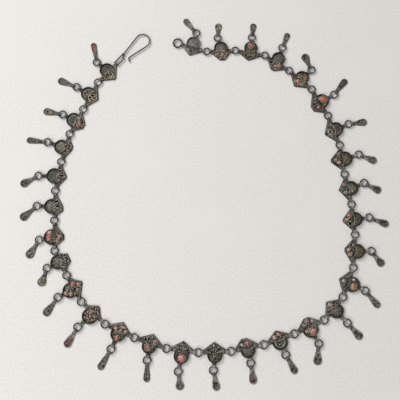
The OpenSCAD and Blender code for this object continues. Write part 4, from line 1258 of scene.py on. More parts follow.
@dataclass
class Plaque:
    """A soldered plaque: plate and tabs, roof strips, medallion, cup, settings and eyes."""

    number: int
    sheet: float = 0.7
    sunk: float = 0.1
    edge: float = 0.12
    plate_edge: float = 0.15
    strip: float = 1.5
    strip_top: float = 1.5
    strip_edge: float = 0.3
    ledge: float = 0.4
    tab_half: float = 1.8
    tab_taper: float = 1.3
    tab_in: float = 1.0
    tab_foot: float = 2.4
    tab_lift: float = 0.05
    apron_half: float = 1.1
    apron_in: float = 0.2
    apron_under: float = 1.1
    apron_less: float = 0.25
    neck_less: float = 0.05
    hook_eye: float = 2.0
    outer_seam: float = 330.0
    slot_wall: float = 0.24
    slot_rise: float = 0.75
    slot_foot: float = 0.15
    slot_lip: float = 0.06
    slot_edge: float = 0.1
    slot_depth: float = 0.2
    slot_overlap: float = 0.08
    long_slot: float = 1.2
    wide_rib: float = 0.6
    rib_rise: float = 0.8
    rib_edge: float = 0.3
    lump_rise: float = 0.62
    stone_margin: float = 0.5
    tries: int = 60
    scatter_half: float = 5.4
    scatter_low: float = 0.9
    scatter_high: float = 1.9
    grain_sizes: Span = (0.25, 0.42)
    grain_rise: float = 0.8
    grain_apart: float = 0.6
    pebble_sizes: Span = (0.3, 0.6)
    pebble_rise: float = 0.4
    pebble_from: float = 0.5
    pebble_less: float = 1.3
    pebble_lift: float = 0.05
    crust_rise: float = 0.16
    crust_lift: float = 0.03
    medallion: MedallionSizes = field(default_factory=MedallionSizes)
    cup: CupSizes = field(default_factory=CupSizes)
    row: Link = field(init=False)
    form: Form = field(init=False)
    stones: list[Stone] = field(init=False)
    plate: Finish = field(init=False)
    rim: Finish = field(init=False)
    tab: Finish = field(init=False)
    draw: random.Random = field(init=False)
    piece: Piece = field(init=False)

    def __post_init__(self) -> None:
        """Starts the plaque's piece."""
        self.row = CHAIN[self.number - 1]
        self.form = FORMS[self.number - 1]
        self.stones = [s for s in STONES if s.on == self.number]
        self.plate = PLATE[self.form.plate]
        # The sheet, the cup's disc and its rim take the dark rim silver, painted shade along their outlines,
        # except on the plain plaque
        self.rim = self.plate if self.form.relief is PLAIN else RIM_SHADE
        # Listed plaques take the brighter tab silver, a painted sheen
        self.tab = SHEEN_TAB if self.number in SHEEN_PLAQUES else TAB
        self.draw = random.Random(self.number)
        self.piece = Piece(f"worn_plaque_{self.number:02d}", "plate_metal", (f"plaque_{self.number:02d}",))

    @property
    def first(self) -> bool:
        """Whether the hook turns in this plaque's first eye."""
        return self.number == 1

    @property
    def ahead_eye(self) -> Eye:
        """The eye at the chain's side that comes next."""
        return CLOSING if self.number == COUNT else JUMP

    @property
    def back(self) -> float:
        """How far the first eye is from the plaque's middle."""
        return self.row.span / 2 - (0 if self.first else JUMP.to_ring)

    @property
    def ahead(self) -> float:
        """How far the second eye is from the plaque's middle."""
        return self.row.span / 2 - self.ahead_eye.to_ring

    @property
    def roof(self) -> Corners:
        """The roof's corners.

        Returns:
            The left foot, both ends of the flat at the point, and the right foot.
        """
        short = self.tab_taper + self.form.slim
        return [
            (short - self.back, self.tab_half),
            (self.form.apex_x - self.form.blunt, self.form.apex_y),
            (self.form.apex_x + self.form.blunt, self.form.apex_y),
            (self.ahead - short, self.tab_half),
        ]

    def roof_y(self, x: float) -> float:
        """Gives the roof's height.

        Args:
            x: The place along the chain.

        Returns:
            How far into the loop the roof reaches there.
        """
        corners = self.roof
        for (x0, y0), (x1, y1) in zip(corners, corners[1:]):
            if x0 <= x <= x1:
                return y0 + (y1 - y0) * (x - x0) / (x1 - x0)
        return self.tab_half

    def surface(self, x: float, y: float) -> float:
        """Gives the height of the silver at a place in the plaque.

        Args:
            x: The place along the chain.
            y: The place into the loop.

        Returns:
            Its height.
        """
        if abs(x) < self.medallion.half and self.medallion.base_y(x) < y < self.roof_y(x):
            return self.medallion.ground
        if math.hypot(x - self.form.cup_x, y + self.form.cup_out) < self.form.cup_r - self.cup.rim_wall:
            return self.cup.floor
        return self.sheet

    def add(self, shape: BMesh, finish: Finish, x: float = 0.0, y: float = 0.0, z: float = 0.0,
            turn: float = 0.0) -> None:
        """Adds a part at a place in the plaque's own frame.

        Args:
            shape: The part.
            finish: Its finish.
            x: Place along the chain.
            y: Place into the loop.
            z: Height.
            turn: Turn in degrees.
        """
        self.piece.take(shape, finish, at_plaque(self.number) @ spot(x, y, z, turn))

    def add_at_cup(self, shape: BMesh, finish: Finish, z: float = 0.0, turn: float = 0.0) -> None:
        """Adds a part about the cup's middle.

        Args:
            shape: The part.
            finish: Its finish.
            z: Height.
            turn: Turn in degrees.
        """
        self.add(shape, finish, self.form.cup_x, -self.form.cup_out, z, turn)

    def build(self) -> Object:
        """Builds the plaque.

        Returns:
            Its object.
        """
        self.add_plate()
        self.add_strips()
        self.add_medallion()
        self.add_cup()
        self.add_outer_tab()
        self.add_eyes()
        self.add_settings()
        self.add_relief()
        self.add_grains()
        self.add_crusts()
        return self.piece.deliver()

    def add_plate(self) -> None:
        """Adds the sheet, and a raised apron on each of its side tabs."""
        half = JUMP.long / 2 - self.neck_less
        back_half = self.hook_eye / 2 - self.neck_less if self.first else half
        left, peak_left, peak_right, right = self.roof
        outline = [
            peak_left, peak_right, right, (self.ahead, half), (self.ahead, -half), (right[0], -self.tab_half),
            (left[0], -self.tab_half), (-self.back, -back_half), (-self.back, back_half), left,
        ]
        self.add(slab(outline, 0, self.sheet, self.plate_edge), self.rim)
        for foot, eye in ((left[0], -self.back), (right[0], self.ahead)):
            wall = math.copysign(self.medallion.half - self.apron_in, eye)
            low = self.apron_less - self.tab_half
            apron = [
                (wall, low), (wall, self.roof_y(wall) - self.apron_under), (foot, -low),
                (eye, self.apron_half), (eye, -self.apron_half), (foot, low),
            ]
            self.add(slab(apron, self.sheet - self.sunk, self.medallion.ground, self.edge), self.tab)

    def add_strips(self) -> None:
        """Adds the smooth strip that runs down both roof slopes to the side tabs."""
        shape = bmesh.new()
        line = [shape.verts.new((x, y - self.ledge, self.sheet - self.sunk)) for x, y in self.roof]
        edges = [shape.edges.new(pair) for pair in zip(line, line[1:])]
        grown = bmesh.ops.extrude_edge_only(shape, edges=edges)["geom"]
        low = [item for item in grown if isinstance(item, BMVert)]
        bmesh.ops.translate(shape, verts=low, vec=(0, self.ledge - self.strip, 0))
        raise_faces(shape, list(shape.faces), self.strip_top - self.sheet + self.sunk, self.strip_edge)
        self.add(shape, STRIPS[self.form.plate])

    def add_medallion(self) -> None:
        """Adds the medallion between the strips, with a beaded sagging base."""
        own = self.medallion
        base = [own.half - 2 * own.half * k / own.base_steps for k in range(own.base_steps + 1)]
        ceiling = [-own.half, *(x for x, _ in self.roof[1:3]), own.half]
        outline = [(x, self.roof_y(x) - self.ledge) for x in ceiling] + [(x, own.base_y(x)) for x in base]
        # The medallion's ground takes the blackened silver with painted shade of the recess, unless the
        # plaque is plain or worn
        base_skin = self.plate if self.form.relief is PLAIN or self.form.plate is WORN else GROUND_SHADE
        self.add(slab(outline, self.sheet - self.sunk, own.ground, self.edge), base_skin)
        reach = math.degrees(math.asin(own.half / own.sag_r))
        skin = TONES[Tone.WORN] if self.number in BRIGHT_BASES else self.plate
        self.add(self.bent(own.sag_r, own.bead, 2 * reach), skin, y=own.sag_mid, z=own.ground + own.bead_lift,
                 turn=-90 - reach)
        r = own.sag_r - own.small_bead_in * own.bead
        for k in range(own.beads):
            a = math.radians(-90 - reach + 2 * reach * (k + 0.5) / own.beads)
            bead = boss(own.small_bead, own.small_bead, sides=8)
            self.add(bead, skin, r * math.cos(a), own.sag_mid + r * math.sin(a), own.ground + self.sunk)
        self.add_ground()

    def add_ground(self) -> None:
        """Adds the cast ground of the medallion, where nothing else stands."""
        own = self.medallion
        relief = self.form.relief
        if relief is BARS:
            self.add_bars(-own.bar_lean, own.bar_top)
        elif relief is LATTICE:
            self.add_bars(own.lattice_lean, own.bar_top - own.lattice_step)
            self.add_bars(-own.lattice_lean, own.bar_top - 2 * own.lattice_step)
        elif relief is SCROLLS:
            for x, y in own.scroll_spots:
                if not self.taken(x, y, room=0.2):
                    scroll = self.bent(own.scroll_r, own.scroll_wire, own.scroll_arc)
                    self.add(scroll, self.plate, x, y, own.ground + own.scroll_lift, own.scroll_turn * x)
                    self.add(boss(own.grain_r, own.grain_r), self.plate, x, y, own.ground)
        elif relief is GRAINS:
            tall = self.form.apex_y / own.usual_point
            for x, y in (*own.side_grains, *((-x, y) for x, y in own.side_grains), *own.mid_grains):
                if not self.taken(x, y * tall, room=0.1):
                    self.add(boss(own.grain_r, own.grain_r), self.plate, x, y * tall, own.ground)

    def add_bars(self, lean: float, top: float) -> None:
        """Adds leaning bars, cut short wherever a stone, a socket or relief of its own stands.

        Args:
            lean: How far they lean from upright, in degrees.
            top: Height of their tops.
        """
        own = self.medallion
        along = Vector((-math.sin(math.radians(lean)), math.cos(math.radians(lean))))
        for k in range(-own.bars_beside, own.bars_beside + 1):
            run = []
            for n in range(-own.run_steps, own.run_steps + 2):
                p = Vector((k * own.bar_step, own.bars_mid)) + along * own.run_step * n
                if self.bar_fits(p):
                    run.append(p)
                    continue
                if len(run) >= own.shortest_run:
                    self.add_bar(run[0], run[-1], lean, top, self.number + k)
                run = []

    def bar_fits(self, p: Vector) -> bool:
        """Tells whether a bar of the ground may run over a point.

        Args:
            p: The point.

        Returns:
            Whether it is inside the medallion and free.
        """
        own = self.medallion
        low = own.base_y(p.x) + own.bar_room if abs(p.x) < own.half - own.bar_room else math.inf
        high = self.roof_y(p.x) - self.strip + own.bar_over
        return low < p.y < high and not self.taken(p.x, p.y, room=0.2)

    def add_bar(self, start: Vector, end: Vector, lean: float, top: float, seed: int) -> None:
        """Adds one bar of the ground.

        Args:
            start: Its first point.
            end: Its last point.
            lean: How far it leans from upright, in degrees.
            top: Height of its top.
            seed: Which unevenness it has.
        """
        own = self.medallion
        half = (end - start).length / 2 + own.run_step / 2
        bar = slab(oblong(half, own.bar_half), own.ground - self.sunk, top, own.bar_edge)
        roughen(bar, size=1.5, depth=0.08, seed=seed)
        middle = (start + end) / 2
        self.add(bar, self.plate, middle.x, middle.y, turn=lean + 90)

    @staticmethod
    def bent(r: float, half: float, turn: float) -> BMesh:
        """Makes a round wire that is bent to an arc.

        Args:
            r: The arc's radius.
            half: The wire's radius.
            turn: The arc's length, in degrees.

        Returns:
            The wire.
        """
        least, usual = 24, 48
        steps = round(least * 360 / turn) if turn < 90 else usual
        return lathe(circle(r, half, sides=8), steps, turn, loop=True)

    def add_cup(self) -> None:
        """Adds the round cup: its dished floor and the rolled rim outside the medallion."""
        own = self.cup
        form = self.form
        r = form.cup_r
        inside = r - own.rim_wall / 2
        dome = inside - own.dome_less if form.bottom is DOME else 0.0
        under = self.sheet - own.sunk
        steps = [inside * k / own.floor_rings for k in range(own.floor_rings + 1)]
        dished = [(out, self.floor_z(out, dome)) for out in steps]
        floor = lathe([*dished, (inside, under), (0.0, under)], own.steps)
        roughen(floor, own.dent_size, own.dents, self.number)
        self.clear_medallion(floor)
        self.add_at_cup(floor, CUPS[form.cup])
        if form.bottom is ARC:
            q = r - own.arc_in
            lift = math.degrees(math.asin(min(own.arc_reach, (form.cup_out - own.arc_less) / q)))
            arc = self.bent(q, own.arc_wire, 180 + 2 * lift)
            self.add_at_cup(arc, self.plate, own.floor + own.arc_lift, 180 - lift)
        low = own.disc_low
        edge = own.disc_edge
        disc = [(0.0, self.sheet), (r - edge, self.sheet), (r, self.sheet - edge), (r, low), (0.0, low)]
        # The cup's disc and rim take the dark rim silver, painted shade along the cup's outline
        self.add_at_cup(lathe(disc, own.disc_steps), self.rim)
        over = form.cup_out + self.medallion.base - own.rim_less
        lift = math.degrees(math.asin(min(own.rim_reach, over / r)))
        top = own.rim_top
        soft = own.rim_soft
        edge = own.rim_edge
        rim = [
            (r - own.rim_wall, self.sheet), (r - own.rim_wall, top - soft), (r - own.rim_wall + edge, top),
            (r - edge, top), (r, top - soft), (r, under), (r - own.sunk, under),
        ]
        wall = lathe(rim, own.steps, 180 + 2 * lift, loop=True)
        roughen(wall, own.rim_dent_size, own.rim_dents, self.number + 0.5)
        self.add_at_cup(wall, self.rim, turn=180 - lift)

    def clear_medallion(self, floor: BMesh) -> None:
        """Lowers what would lie in the medallion, up to a clean edge along its base.

        Args:
            floor: The cup's floor, about the cup's own middle.
        """
        near = self.cup.near
        for v in floor.verts:
            x = v.co.x + self.form.cup_x
            over = v.co.y - self.form.cup_out - self.medallion.base_y(x)
            if over > near:
                v.co.z = min(v.co.z, self.sheet - self.sunk)
            elif over > -near:
                v.co.y -= over

    def floor_z(self, out: float, dome: float) -> float:
        """Gives the height of the cup's floor.

        Args:
            out: Distance from the cup's middle.
            dome: Radius of the dome that stands on the floor, or 0.

        Returns:
            The height.
        """
        own = self.cup
        if out < dome:
            return own.floor + own.dome_rise * (1 - (out / dome) ** 2)
        return own.floor + (own.floor_sag if dome == 0 else 0.0) * math.cos(out / self.form.cup_r * math.pi)

    def add_outer_tab(self) -> None:
        """Adds the tab from the cup to the eye that holds the drop's ring."""
        place, reach = self.outer_eye()
        half = JUMP.long / 2 - self.neck_less
        bend = self.tab_taper / 2
        start = -reach - self.tab_in
        outline = [
            (start, self.tab_foot), (-bend, half + self.sunk), (0, half),
            (0, -half), (-bend, -half - self.sunk), (start, -self.tab_foot),
        ]
        self.piece.take(slab(outline, self.tab_lift, self.sheet - self.tab_lift, self.edge), self.tab, place)

    def outer_eye(self) -> tuple[Matrix, float]:
        """Finds the outer eye.

        Returns:
            Its place, with X away from the cup, and how far it is from the cup's rim.
        """
        row, form = self.row, self.form
        way = Vector((row.drop_x - form.cup_x, form.cup_out - row.drop_out))
        turn = math.degrees(math.atan2(way.y, way.x))
        place = at_plaque(self.number) @ spot(row.drop_x, -row.drop_out, 0, turn) @ spot(-JUMP.to_ring, 0)
        return place, way.length - JUMP.to_ring - form.cup_r

    def add_eyes(self) -> None:
        """Adds the three rolled eyes."""
        first = JUMP.roll(self.hook_eye) if self.first else JUMP.roll()
        self.add(first, self.tab, x=-self.back, z=JUMP.z)
        eye = self.ahead_eye
        self.add(eye.roll(seam=self.outer_seam), self.tab, x=self.ahead, z=eye.z)
        place, _ = self.outer_eye()
        self.piece.take(JUMP.roll(seam=self.outer_seam), self.tab, place @ spot(0, 0, JUMP.z))

    def add_settings(self) -> None:
        """Adds the round collets of the stones."""
        own = self.cup
        for stone in self.stones:
            main = stone.r >= MAIN_R
            top = own.main_collet if main else own.small_collet
            bore = stone.r + own.stone_room
            out = bore + own.collet_wall
            foot = self.sheet - self.sunk
            profile = [
                (bore, own.floor - own.collet_sunk), (bore, top - own.collet_lip),
                (bore + own.collet_lip, top),
                (out - own.collet_edge, top - own.collet_dip), (out, top - own.collet_sunk), (out, foot),
                (bore + own.collet_sunk, foot),
            ]
            wall = lathe(profile, own.main_steps if main else own.small_steps, loop=True)
            roughen(wall, size=0.9, depth=0.05, seed=self.number + stone.x)
            self.add(wall, self.plate, stone.x, stone.y)
            wide = bore + self.sunk
            seat = [(0.0, own.floor), (wide, own.floor), (wide, self.sheet), (0.0, self.sheet)]
            # The seat under the stone takes the near-black socket floor, with painted shade
            self.add(lathe(seat, own.small_steps), HOLLOW_SHADE, stone.x, stone.y)

    def add_relief(self) -> None:
        """Adds the medallion's empty sockets, bars and bosses."""
        for slot in SLOTS.get(self.number, ()):
            self.add_slot(slot)
        for rib in RIBS.get(self.number, ()):
            self.add(self.raised(rib), TONES[rib.tone], rib.x, rib.y, turn=rib.slant)
        tone = Tone.ROSE if self.form.plate is BROWN else Tone.WORN
        for lump in LUMPS.get(self.number, ()):
            shape = boss(lump.r, self.lump_rise * lump.r, sides=12)
            roughen(shape, size=0.8, depth=0.12, seed=lump.x)
            self.add(shape, TONES[tone], lump.x, lump.y, self.surface(lump.x, lump.y) + self.sunk)

    def raised(self, rib: Rib) -> BMesh:
        """Makes a raised bar: a flat block where it is wide, else a rounded and dented one.

        Args:
            rib: The bar's row.

        Returns:
            The bar, along X, with its foot at the silver's height.
        """
        ground = self.surface(rib.x, rib.y)
        if rib.wide > self.wide_rib:
            corners = oblong(rib.long, rib.wide)
            return slab(corners, ground - self.slot_foot, ground + self.rib_rise, self.rib_edge)
        bar = boss(1, rise=0.85, sides=14)
        longer, wider = 1.12, 1.2
        bmesh.ops.scale(bar, vec=(longer * rib.long, wider * rib.wide, 1), verts=bar.verts)
        roughen(bar, size=1.0, depth=0.1, seed=rib.x)
        bmesh.ops.translate(bar, verts=bar.verts, vec=(0, 0, ground))
        return bar

    def add_slot(self, slot: Slot) -> None:
        """Adds an empty oval socket: a low wall round a near-black floor, which is blackening with the
        socket's shade painted in.

        Args:
            slot: The socket's row.
        """
        ground = self.surface(slot.x, slot.y)
        top = ground + self.slot_rise
        outer = 1.0 + self.slot_wall
        profile = [
            (1.0, ground), (1.0, top - self.slot_lip), (1.0 + self.slot_wall / 2, top),
            (outer, top - self.slot_edge), (outer, ground - self.slot_foot),
        ]
        ring = lathe(profile, steps=16, loop=True)
        for v in ring.verts:
            flat = Vector((v.co.x, v.co.y))
            out = flat.length - 1.0
            way = flat.normalized()
            v.co.x = way.x * (slot.long + out)
            v.co.y = way.y * (slot.wide + out)
        skin = TONES[Tone.WORN] if slot.long > self.long_slot else self.plate
        self.add(ring, skin, slot.x, slot.y, turn=slot.slant)
        high, low = ground + self.slot_lip, ground - self.slot_depth
        floor = lathe([(0.0, high), (1.0, high), (1.0, low), (0.0, low)], steps=16)
        reach = (slot.long + self.slot_overlap, slot.wide + self.slot_overlap, 1)
        bmesh.ops.scale(floor, vec=reach, verts=floor.verts)
        # The floor takes the near-black finish, blackening with painted shade
        self.add(floor, HOLLOW_SHADE, slot.x, slot.y, turn=slot.slant)

    def taken(self, x: float, y: float, room: float) -> bool:
        """Tells whether a place in the medallion is taken.

        Args:
            x: Place along the chain.
            y: Place into the loop.
            room: Room that is needed round it.

        Returns:
            Whether a stone, socket, bar or boss is there.
        """
        spots = [(s.x, s.y, s.r + self.stone_margin) for s in self.stones]
        spots += [(s.x, s.y, s.long) for s in SLOTS.get(self.number, ())]
        spots += [(s.x, s.y, s.long) for s in RIBS.get(self.number, ())]
        spots += [(s.x, s.y, s.r) for s in LUMPS.get(self.number, ())]
        return any(math.hypot(x - sx, y - sy) < r + room for sx, sy, r in spots)

    def add_grains(self) -> None:
        """Scatters small grains over what is left free of the medallion and the cup."""
        for _ in range(self.tries):
            x = self.draw.uniform(-self.scatter_half, self.scatter_half)
            low = self.medallion.base_y(x) + self.scatter_low
            y = self.draw.uniform(low, self.roof_y(x) - self.scatter_high)
            r = self.draw.uniform(*self.grain_sizes)
            if not self.taken(x, y, room=r * self.grain_apart) and self.number != COUNT:
                grain = boss(r, self.grain_rise * r, sides=8)
                self.add(grain, self.plate, x, y, self.medallion.ground)
        for _ in range(self.tries // 2):
            a = self.draw.uniform(-math.pi, 0)
            out = self.draw.uniform(self.pebble_from, self.form.cup_r - self.pebble_less)
            x = self.form.cup_x + out * math.cos(a)
            y = -self.form.cup_out + out * math.sin(a)
            r = self.draw.uniform(*self.pebble_sizes)
            if not self.taken(x, y, room=r) and self.surface(x, y) == self.cup.floor:
                pebble = boss(r, self.pebble_rise * r, sides=8)
                self.add(pebble, CUPS[self.form.cup], x, y, self.cup.floor + self.pebble_lift)

    def add_crusts(self) -> None:
        """Adds the thin crusts that lie on the silver."""
        for stain in STAINS.get(self.number, ()):
            shape = boss(stain.r, self.crust_rise, sides=16)
            roughen(shape, size=0.7, depth=0.22, seed=stain.x + stain.y)
            z = self.surface(stain.x, stain.y) + self.crust_lift
            self.add(shape, CRUSTS[stain.crust], stain.x, stain.y, z)


@dataclass
class Cabochons:
    """The polished domes in their collets."""

    seat: float = 1.1
    lift: float = 0.12
    side: float = 0.5
    dome: float = 0.55
    less: float = 0.05
    dent_size: float = 0.9
    dent_grows: float = 0.3
    dents: float = 0.035

    def stone(self, row: Stone, steps: int, rows: int) -> BMesh:
        """Makes one dome.

        Args:
            row: The stone.
            steps: Steps round it.
            rows: Steps from its edge to its top.

        Returns:
            The dome, with its foot at height 0.
        """
        rise = row.r * self.dome
        globe = (row.r ** 2 + rise ** 2) / (2 * rise)
        reach = math.asin(row.r / globe)
        profile = [(0.0, 0.0), (row.r - self.less, 0.0), (row.r - self.less, self.side)]
        for k in range(rows - 1, -1, -1):
            a = reach * k / rows
            profile.append((globe * math.sin(a), self.side + rise - globe * (1 - math.cos(a))))
        shape = lathe(profile, steps)
        roughen(shape, self.dent_size + self.dent_grows * row.r, self.dents * row.r, row.on + row.x)
        return shape

    def add(self, piece: Piece, row: Stone, steps: int, rows: int) -> None:
        """Adds one stone to a piece, in its collet."""
        place = at_plaque(row.on) @ spot(row.x, row.y, self.seat + self.lift)
        piece.take(self.stone(row, steps, rows), GEMS[row.gem], place)

    def build(self) -> list[Object]:
        """Builds the main stones one by one and the small stones as one piece.

        Returns:
            Their objects.
        """
        made = []
        main = [row for row in STONES if row.r >= MAIN_R]
        for k, row in enumerate(main, 1):
            piece = Piece(f"coral_cabochon_{k:02d}", "coral", (f"coral_{k:02d}",))
            self.add(piece, row, steps=32, rows=10)
            made.append(piece.deliver())
        small = Piece("small_cabochons", "coral", ("small_stones",))
        for row in STONES:
            if row.r < MAIN_R:
                self.add(small, row, steps=16, rows=5)
        made.append(small.deliver())
        return made


@dataclass
class JumpRings:
    """The rings between the plaques and those that carry the drops."""

    gap: float = 6.0
    link_play: float = 20.0
    drop_play: float = 25.0
    closing_turn: float = 40.0

    def build(self) -> list[Object]:
        """Builds both sets, each ring turned a little further, and the larger ring at the chain's end.

        Returns:
            Their objects.
        """
        links = Piece("rings_between_plaques", "wire_metal", ("link_rings",))
        for i in range(1, COUNT):
            p = ring_at(i)
            turn = 90 + CHAIN[i].heading + self.link_play * math.sin(i)
            links.take(JUMP.ring(self.gap), WIRE, spot(p.x, p.y, JUMP.z, turn))
        carriers = Piece("rings_of_drops", "wire_metal", ("drop_rings",))
        for i in range(1, COUNT + 1):
            turn = 90 + self.drop_play * math.sin(2 * i)
            carriers.take(JUMP.ring(self.gap), WIRE, at_drop(i) @ spot(0, 0, JUMP.z, turn))
        closing = Piece("closing_ring", "wire_metal", ("end_ring",))
        p = ring_at(COUNT)
        ring = CLOSING.ring(self.gap, sides=12, steps=48)
        closing.take(ring, WIRE, spot(p.x, p.y, CLOSING.z, self.closing_turn))
        return [links.deliver(), carriers.deliver(), closing.deliver()]


@dataclass
class Drops:
    """The hammered paddle drops."""

    sheet: float = 0.7
    lift: float = 0.05
    edge: float = 0.16
    waist_at: float = 0.3
    waist: float = 1.85
    swell_at: float = 0.52
    swell: float = 0.1
    neck: float = 1.4
    end_half: float = 100.0
    end_steps: int = 14
    dents: float = 0.16
    dent_size: float = 1.6
    dent_out: float = 0.05
    border: float = 0.55
    slope: float = 0.3
    dish: float = 0.47
    dish_from: float = 0.33
    dish_point: float = 0.3
    dish_least: float = 0.3
    dish_deepens: float = 3.0
    dish_tips: float = 0.3
    upright: float = 0.9
    glint_in: float = 0.2
    glint_sunk: float = 0.05

    def paddle(self, row: Link, seed: int) -> BMesh:
        """Makes one paddle, from its rolled top to its round end.

        Args:
            row: The plaque's row, which has the drop's sizes.
            seed: Which hammering it has.

        Returns:
            The paddle, with X along it.
        """
        long = row.drop_len - JUMP.to_ring
        half = row.drop_w / 2
        steps = range(self.end_steps + 1)
        arc = [math.radians(self.end_half - 2 * self.end_half * k / self.end_steps) for k in steps]
        flank = [
            (0.0, self.neck), (long * self.waist_at, self.waist),
            (long * self.swell_at, (self.waist + half) / 2 + self.swell),
        ]
        outline = flank + [(long - half + half * math.cos(a), half * math.sin(a)) for a in arc]
        outline += [(x, -y) for x, y in reversed(flank)]
        shape = slab(outline, self.lift, self.sheet, self.edge)
        self.hollow(shape, long, half)
        for v in shape.verts:
            if v.co.z > self.sheet - TINY:
                place = Vector((v.co.x / self.dent_size, v.co.y / self.dent_size, seed))
                v.co.z += min(self.dent_out, noise.noise(place) * self.dents)
        return shape

    def hollow(self, shape: BMesh, long: float, half: float) -> None:
        """Sinks the dish into a paddle's top, whose faces get material 1.

        Args:
            shape: The flat paddle.
            long: Its length.
            half: Half its width.
        """
        cut = long * self.dish_from
        bmesh.ops.bisect_plane(shape, geom=[*shape.verts, *shape.edges, *shape.faces], plane_co=(cut, 0, 0),
                               plane_no=(1, 0, 0))
        tops = [face for face in shape.faces if face.normal.z > self.upright]
        beyond = [face for face in tops if face.calc_center_median().x > cut]
        top = max(beyond, key=lambda face: face.calc_area())
        bmesh.ops.inset_region(shape, faces=[top], thickness=self.border, use_even_offset=True)
        for v in top.verts:
            if v.co.x < cut + self.border + TINY:
                v.co.y *= self.dish_point
        top.material_index = 1
        bmesh.ops.inset_region(shape, faces=[top], thickness=self.slope, use_even_offset=True)
        for v in top.verts:
            depth = min(1.0, max(self.dish_least, (v.co.x - cut) / long * self.dish_deepens))
            v.co.z -= self.dish * depth * (1 + self.dish_tips * (v.co.y / half))

    def build(self) -> list[Object]:
        """Builds the drops as one piece.

        Returns:
            Its object.
        """
        piece = Piece("hammered_drops", "plate_metal", ("drops",))
        for i, row in enumerate(CHAIN, 1):
            place = at_drop(i) @ spot(JUMP.to_ring, 0)
            # Listed drops take the brighter paddle silver, a painted sheen
            skin = SHEEN_PADDLE if i in SHEEN_PLAQUES else PADDLE
            piece.take(self.paddle(row, i), skin, place, DISHES[DROP_DISHES[i - 1]])
            piece.take(JUMP.roll(), PADDLE, place @ spot(0, 0, JUMP.z))
            # A bright boss sunk in the dish paints a highlight there
            if i in DISH_GLINTS:
                x = row.drop_len - JUMP.to_ring - row.drop_w / 2 + self.glint_in
                bright = boss(DISH_GLINTS[i], rise=0.3, sides=12, foot=0.05)
                roughen(bright, size=0.7, depth=0.06, seed=i)
                z = self.sheet - self.dish - self.glint_sunk
                piece.take(bright, TONES[Tone.WORN], place @ spot(x, 0, z))
        return [piece.deliver()]


class Bend(NamedTuple):
    """A step of a bent wire: a straight length where the turn is 0, else a bend of that radius."""

    turn: float
    size: float


@dataclass
class Hook:
    """The long wire hook: a loop in the eye, a wrapped neck, the shank, the bend and the tip."""

    wire: float = 0.56
    length: float = 37.5
    bend_r: float = 6.3
    bend_turn: float = 200.0
    point: tuple[Bend, ...] = (Bend(0, 18.4), Bend(69, 1.0), Bend(0, 3.0))
    eye: float = 2.0
    eye_room: float = 0.3
    neck: tuple[float, float] = (10.2, 1.3)
    shank_turn: float = 6.5
    corner: float = 0.75
    overlap: float = 1.0
    tail: tuple[Bend, ...] = (Bend(0, 7.0), Bend(125, 1.1), Bend(0, 0.6))
    wrap_r: float = 0.85
    wrap_wire: float = 0.4
    wraps: tuple[float, float] = (0.2, 1.1)
    sides: int = 12
    degrees_per_step: float = 12.0

    def bent_wire(self, steps: list[Bend]) -> BMesh:
        """Bends a round wire step by step, from the origin along X.

        Args:
            steps: The bends and straight lengths.

        Returns:
            The wire.
        """
        shape = bmesh.new()
        ring = bmesh.ops.create_circle(shape, segments=self.sides, radius=self.wire)["verts"]
        bmesh.ops.rotate(shape, verts=ring, matrix=Matrix.Rotation(math.radians(90), 3, "Y"))
        edges = list(shape.edges)
        at = Vector((0, 0, 0))
        way = Vector((1, 0, 0))
        for step in steps:
            if step.turn == 0:
                grown = bmesh.ops.extrude_edge_only(shape, edges=edges)["geom"]
                points = [item for item in grown if isinstance(item, BMVert)]
                edges = [item for item in grown if isinstance(item, BMEdge)]
                bmesh.ops.translate(shape, verts=points, vec=way * step.size)
                at = at + way * step.size
            else:
                side = math.copysign(1, step.turn)
                middle = at + Vector((-way.y, way.x, 0)) * side * step.size
                count = max(3, round(abs(step.turn) / self.degrees_per_step))
                edges = sweep(shape, edges, middle, Vector((0, 0, side)), abs(step.turn), count)
                turned = Matrix.Rotation(math.radians(step.turn), 3, "Z")
                at = middle + turned @ (at - middle)
                way = turned @ way
        finish_skin(shape)
        return shape

    def build(self) -> list[Object]:
        """Builds the hook.

        Returns:
            Its object.
        """
        piece = Piece("wire_hook", "wire_metal", ("hook",))
        base = spot(START.x, START.y, JUMP.z, CHAIN[0].heading - 180)
        shank = base @ spot(self.neck[0], self.neck[1], 0, self.shank_turn)
        straight = self.length - self.bend_r - self.neck[0]
        route = [Bend(0, straight), Bend(-self.bend_turn, self.bend_r), *self.point]
        piece.take(self.bent_wire(route), HOOK_WIRE, shank)
        end = self.eye + self.eye_room
        corner = Bend(90, self.corner)
        loop = [Bend(0, self.neck[0] + self.overlap - self.corner), corner, Bend(0, end), corner, *self.tail]
        start = spot(self.neck[0] + self.overlap, end / 2 + self.corner, 0, 180)
        piece.take(self.bent_wire(loop), HOOK_WIRE, base @ start)
        wrap = Eye(ring_r=self.wrap_r, wire=self.wrap_wire)
        for x in self.wraps:
            coil = wrap.ring(gap=0.0, sides=8, steps=16)
            bmesh.ops.rotate(coil, verts=coil.verts, matrix=Matrix.Rotation(math.radians(90), 3, "Y"))
            piece.take(coil, HOOK_WIRE, shank @ spot(x, 0))
        return [piece.deliver()]


class Lamp(NamedTuple):
    """A soft light that faces the belt: its name, its place, its side, and its power in watts."""

    name: str
    place: tuple[float, float, float]
    size: float
    power: float


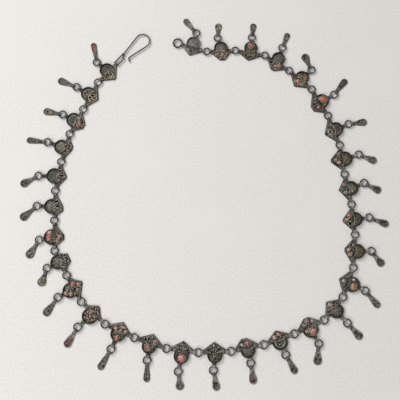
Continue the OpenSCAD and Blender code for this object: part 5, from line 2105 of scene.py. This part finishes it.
@dataclass
class Studio:
    """The pale cloth, the soft lights and the camera."""

    eye: tuple[float, float, float] = (-2.94, -86.55, 460.4)
    tilt: float = 10.0
    lens: float = 49.5
    sensor: float = 36.0
    nearest: float = 10.0
    floor: float = 900.0
    lamps: tuple[Lamp, ...] = (
        Lamp("window", (-900, 780, 950), 700, 14.5),
        Lamp("fill", (-450, -650, 600), 500, 3.0),
    )
    air: Colour = (1.0, 0.985, 0.965)
    air_strength: float = 0.44

    def build(self) -> None:
        """Sets the stage."""
        skin = bmesh.new()
        bmesh.ops.create_grid(skin, x_segments=2, y_segments=2, size=self.floor * MM / 2)
        mesh = bpy.data.meshes.new("cloth")
        skin.to_mesh(mesh)
        skin.free()
        cloth = bpy.data.objects.new("cloth", mesh)
        mesh.materials.append(LINEN.material())
        bpy.context.scene.collection.objects.link(cloth)
        for lamp in self.lamps:
            self.light(lamp)
        world = bpy.data.worlds.new("room")
        world.use_nodes = True
        background = world.node_tree.nodes["Background"]
        background.inputs["Color"].default_value = (*self.air, 1)
        background.inputs["Strength"].default_value = self.air_strength
        bpy.context.scene.world = world
        camera = bpy.data.objects.new("camera", bpy.data.cameras.new("camera"))
        camera.data.lens = self.lens
        camera.data.sensor_width = self.sensor
        camera.data.clip_start = self.nearest * MM
        camera.location = Vector(self.eye) * MM
        camera.rotation_euler = (math.radians(self.tilt), 0, 0)
        bpy.context.scene.collection.objects.link(camera)
        bpy.context.scene.camera = camera
        bpy.context.scene.view_settings.view_transform = "Standard"

    @staticmethod
    def light(lamp: Lamp) -> None:
        """Adds a soft light that faces the belt.

        Args:
            lamp: The light.
        """
        glow = bpy.data.lights.new(lamp.name, "AREA")
        glow.size = lamp.size * MM
        glow.energy = lamp.power
        made = bpy.data.objects.new(lamp.name, glow)
        made.location = Vector(lamp.place) * MM
        made.rotation_euler = (-Vector(lamp.place)).to_track_quat("-Z", "Y").to_euler()
        bpy.context.scene.collection.objects.link(made)


def main() -> None:
    """Builds the belt piece by piece and sets the stage."""
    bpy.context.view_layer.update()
    noise.seed_set(SEED)
    for number in range(1, COUNT + 1):
        Plaque(number).build()
    Cabochons().build()
    JumpRings().build()
    Drops().build()
    Hook().build()
    Studio().build()
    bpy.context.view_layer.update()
    LOG.info("sizes written")


if __name__ == "__main__":
    logging.basicConfig(level=logging.INFO)
    main()
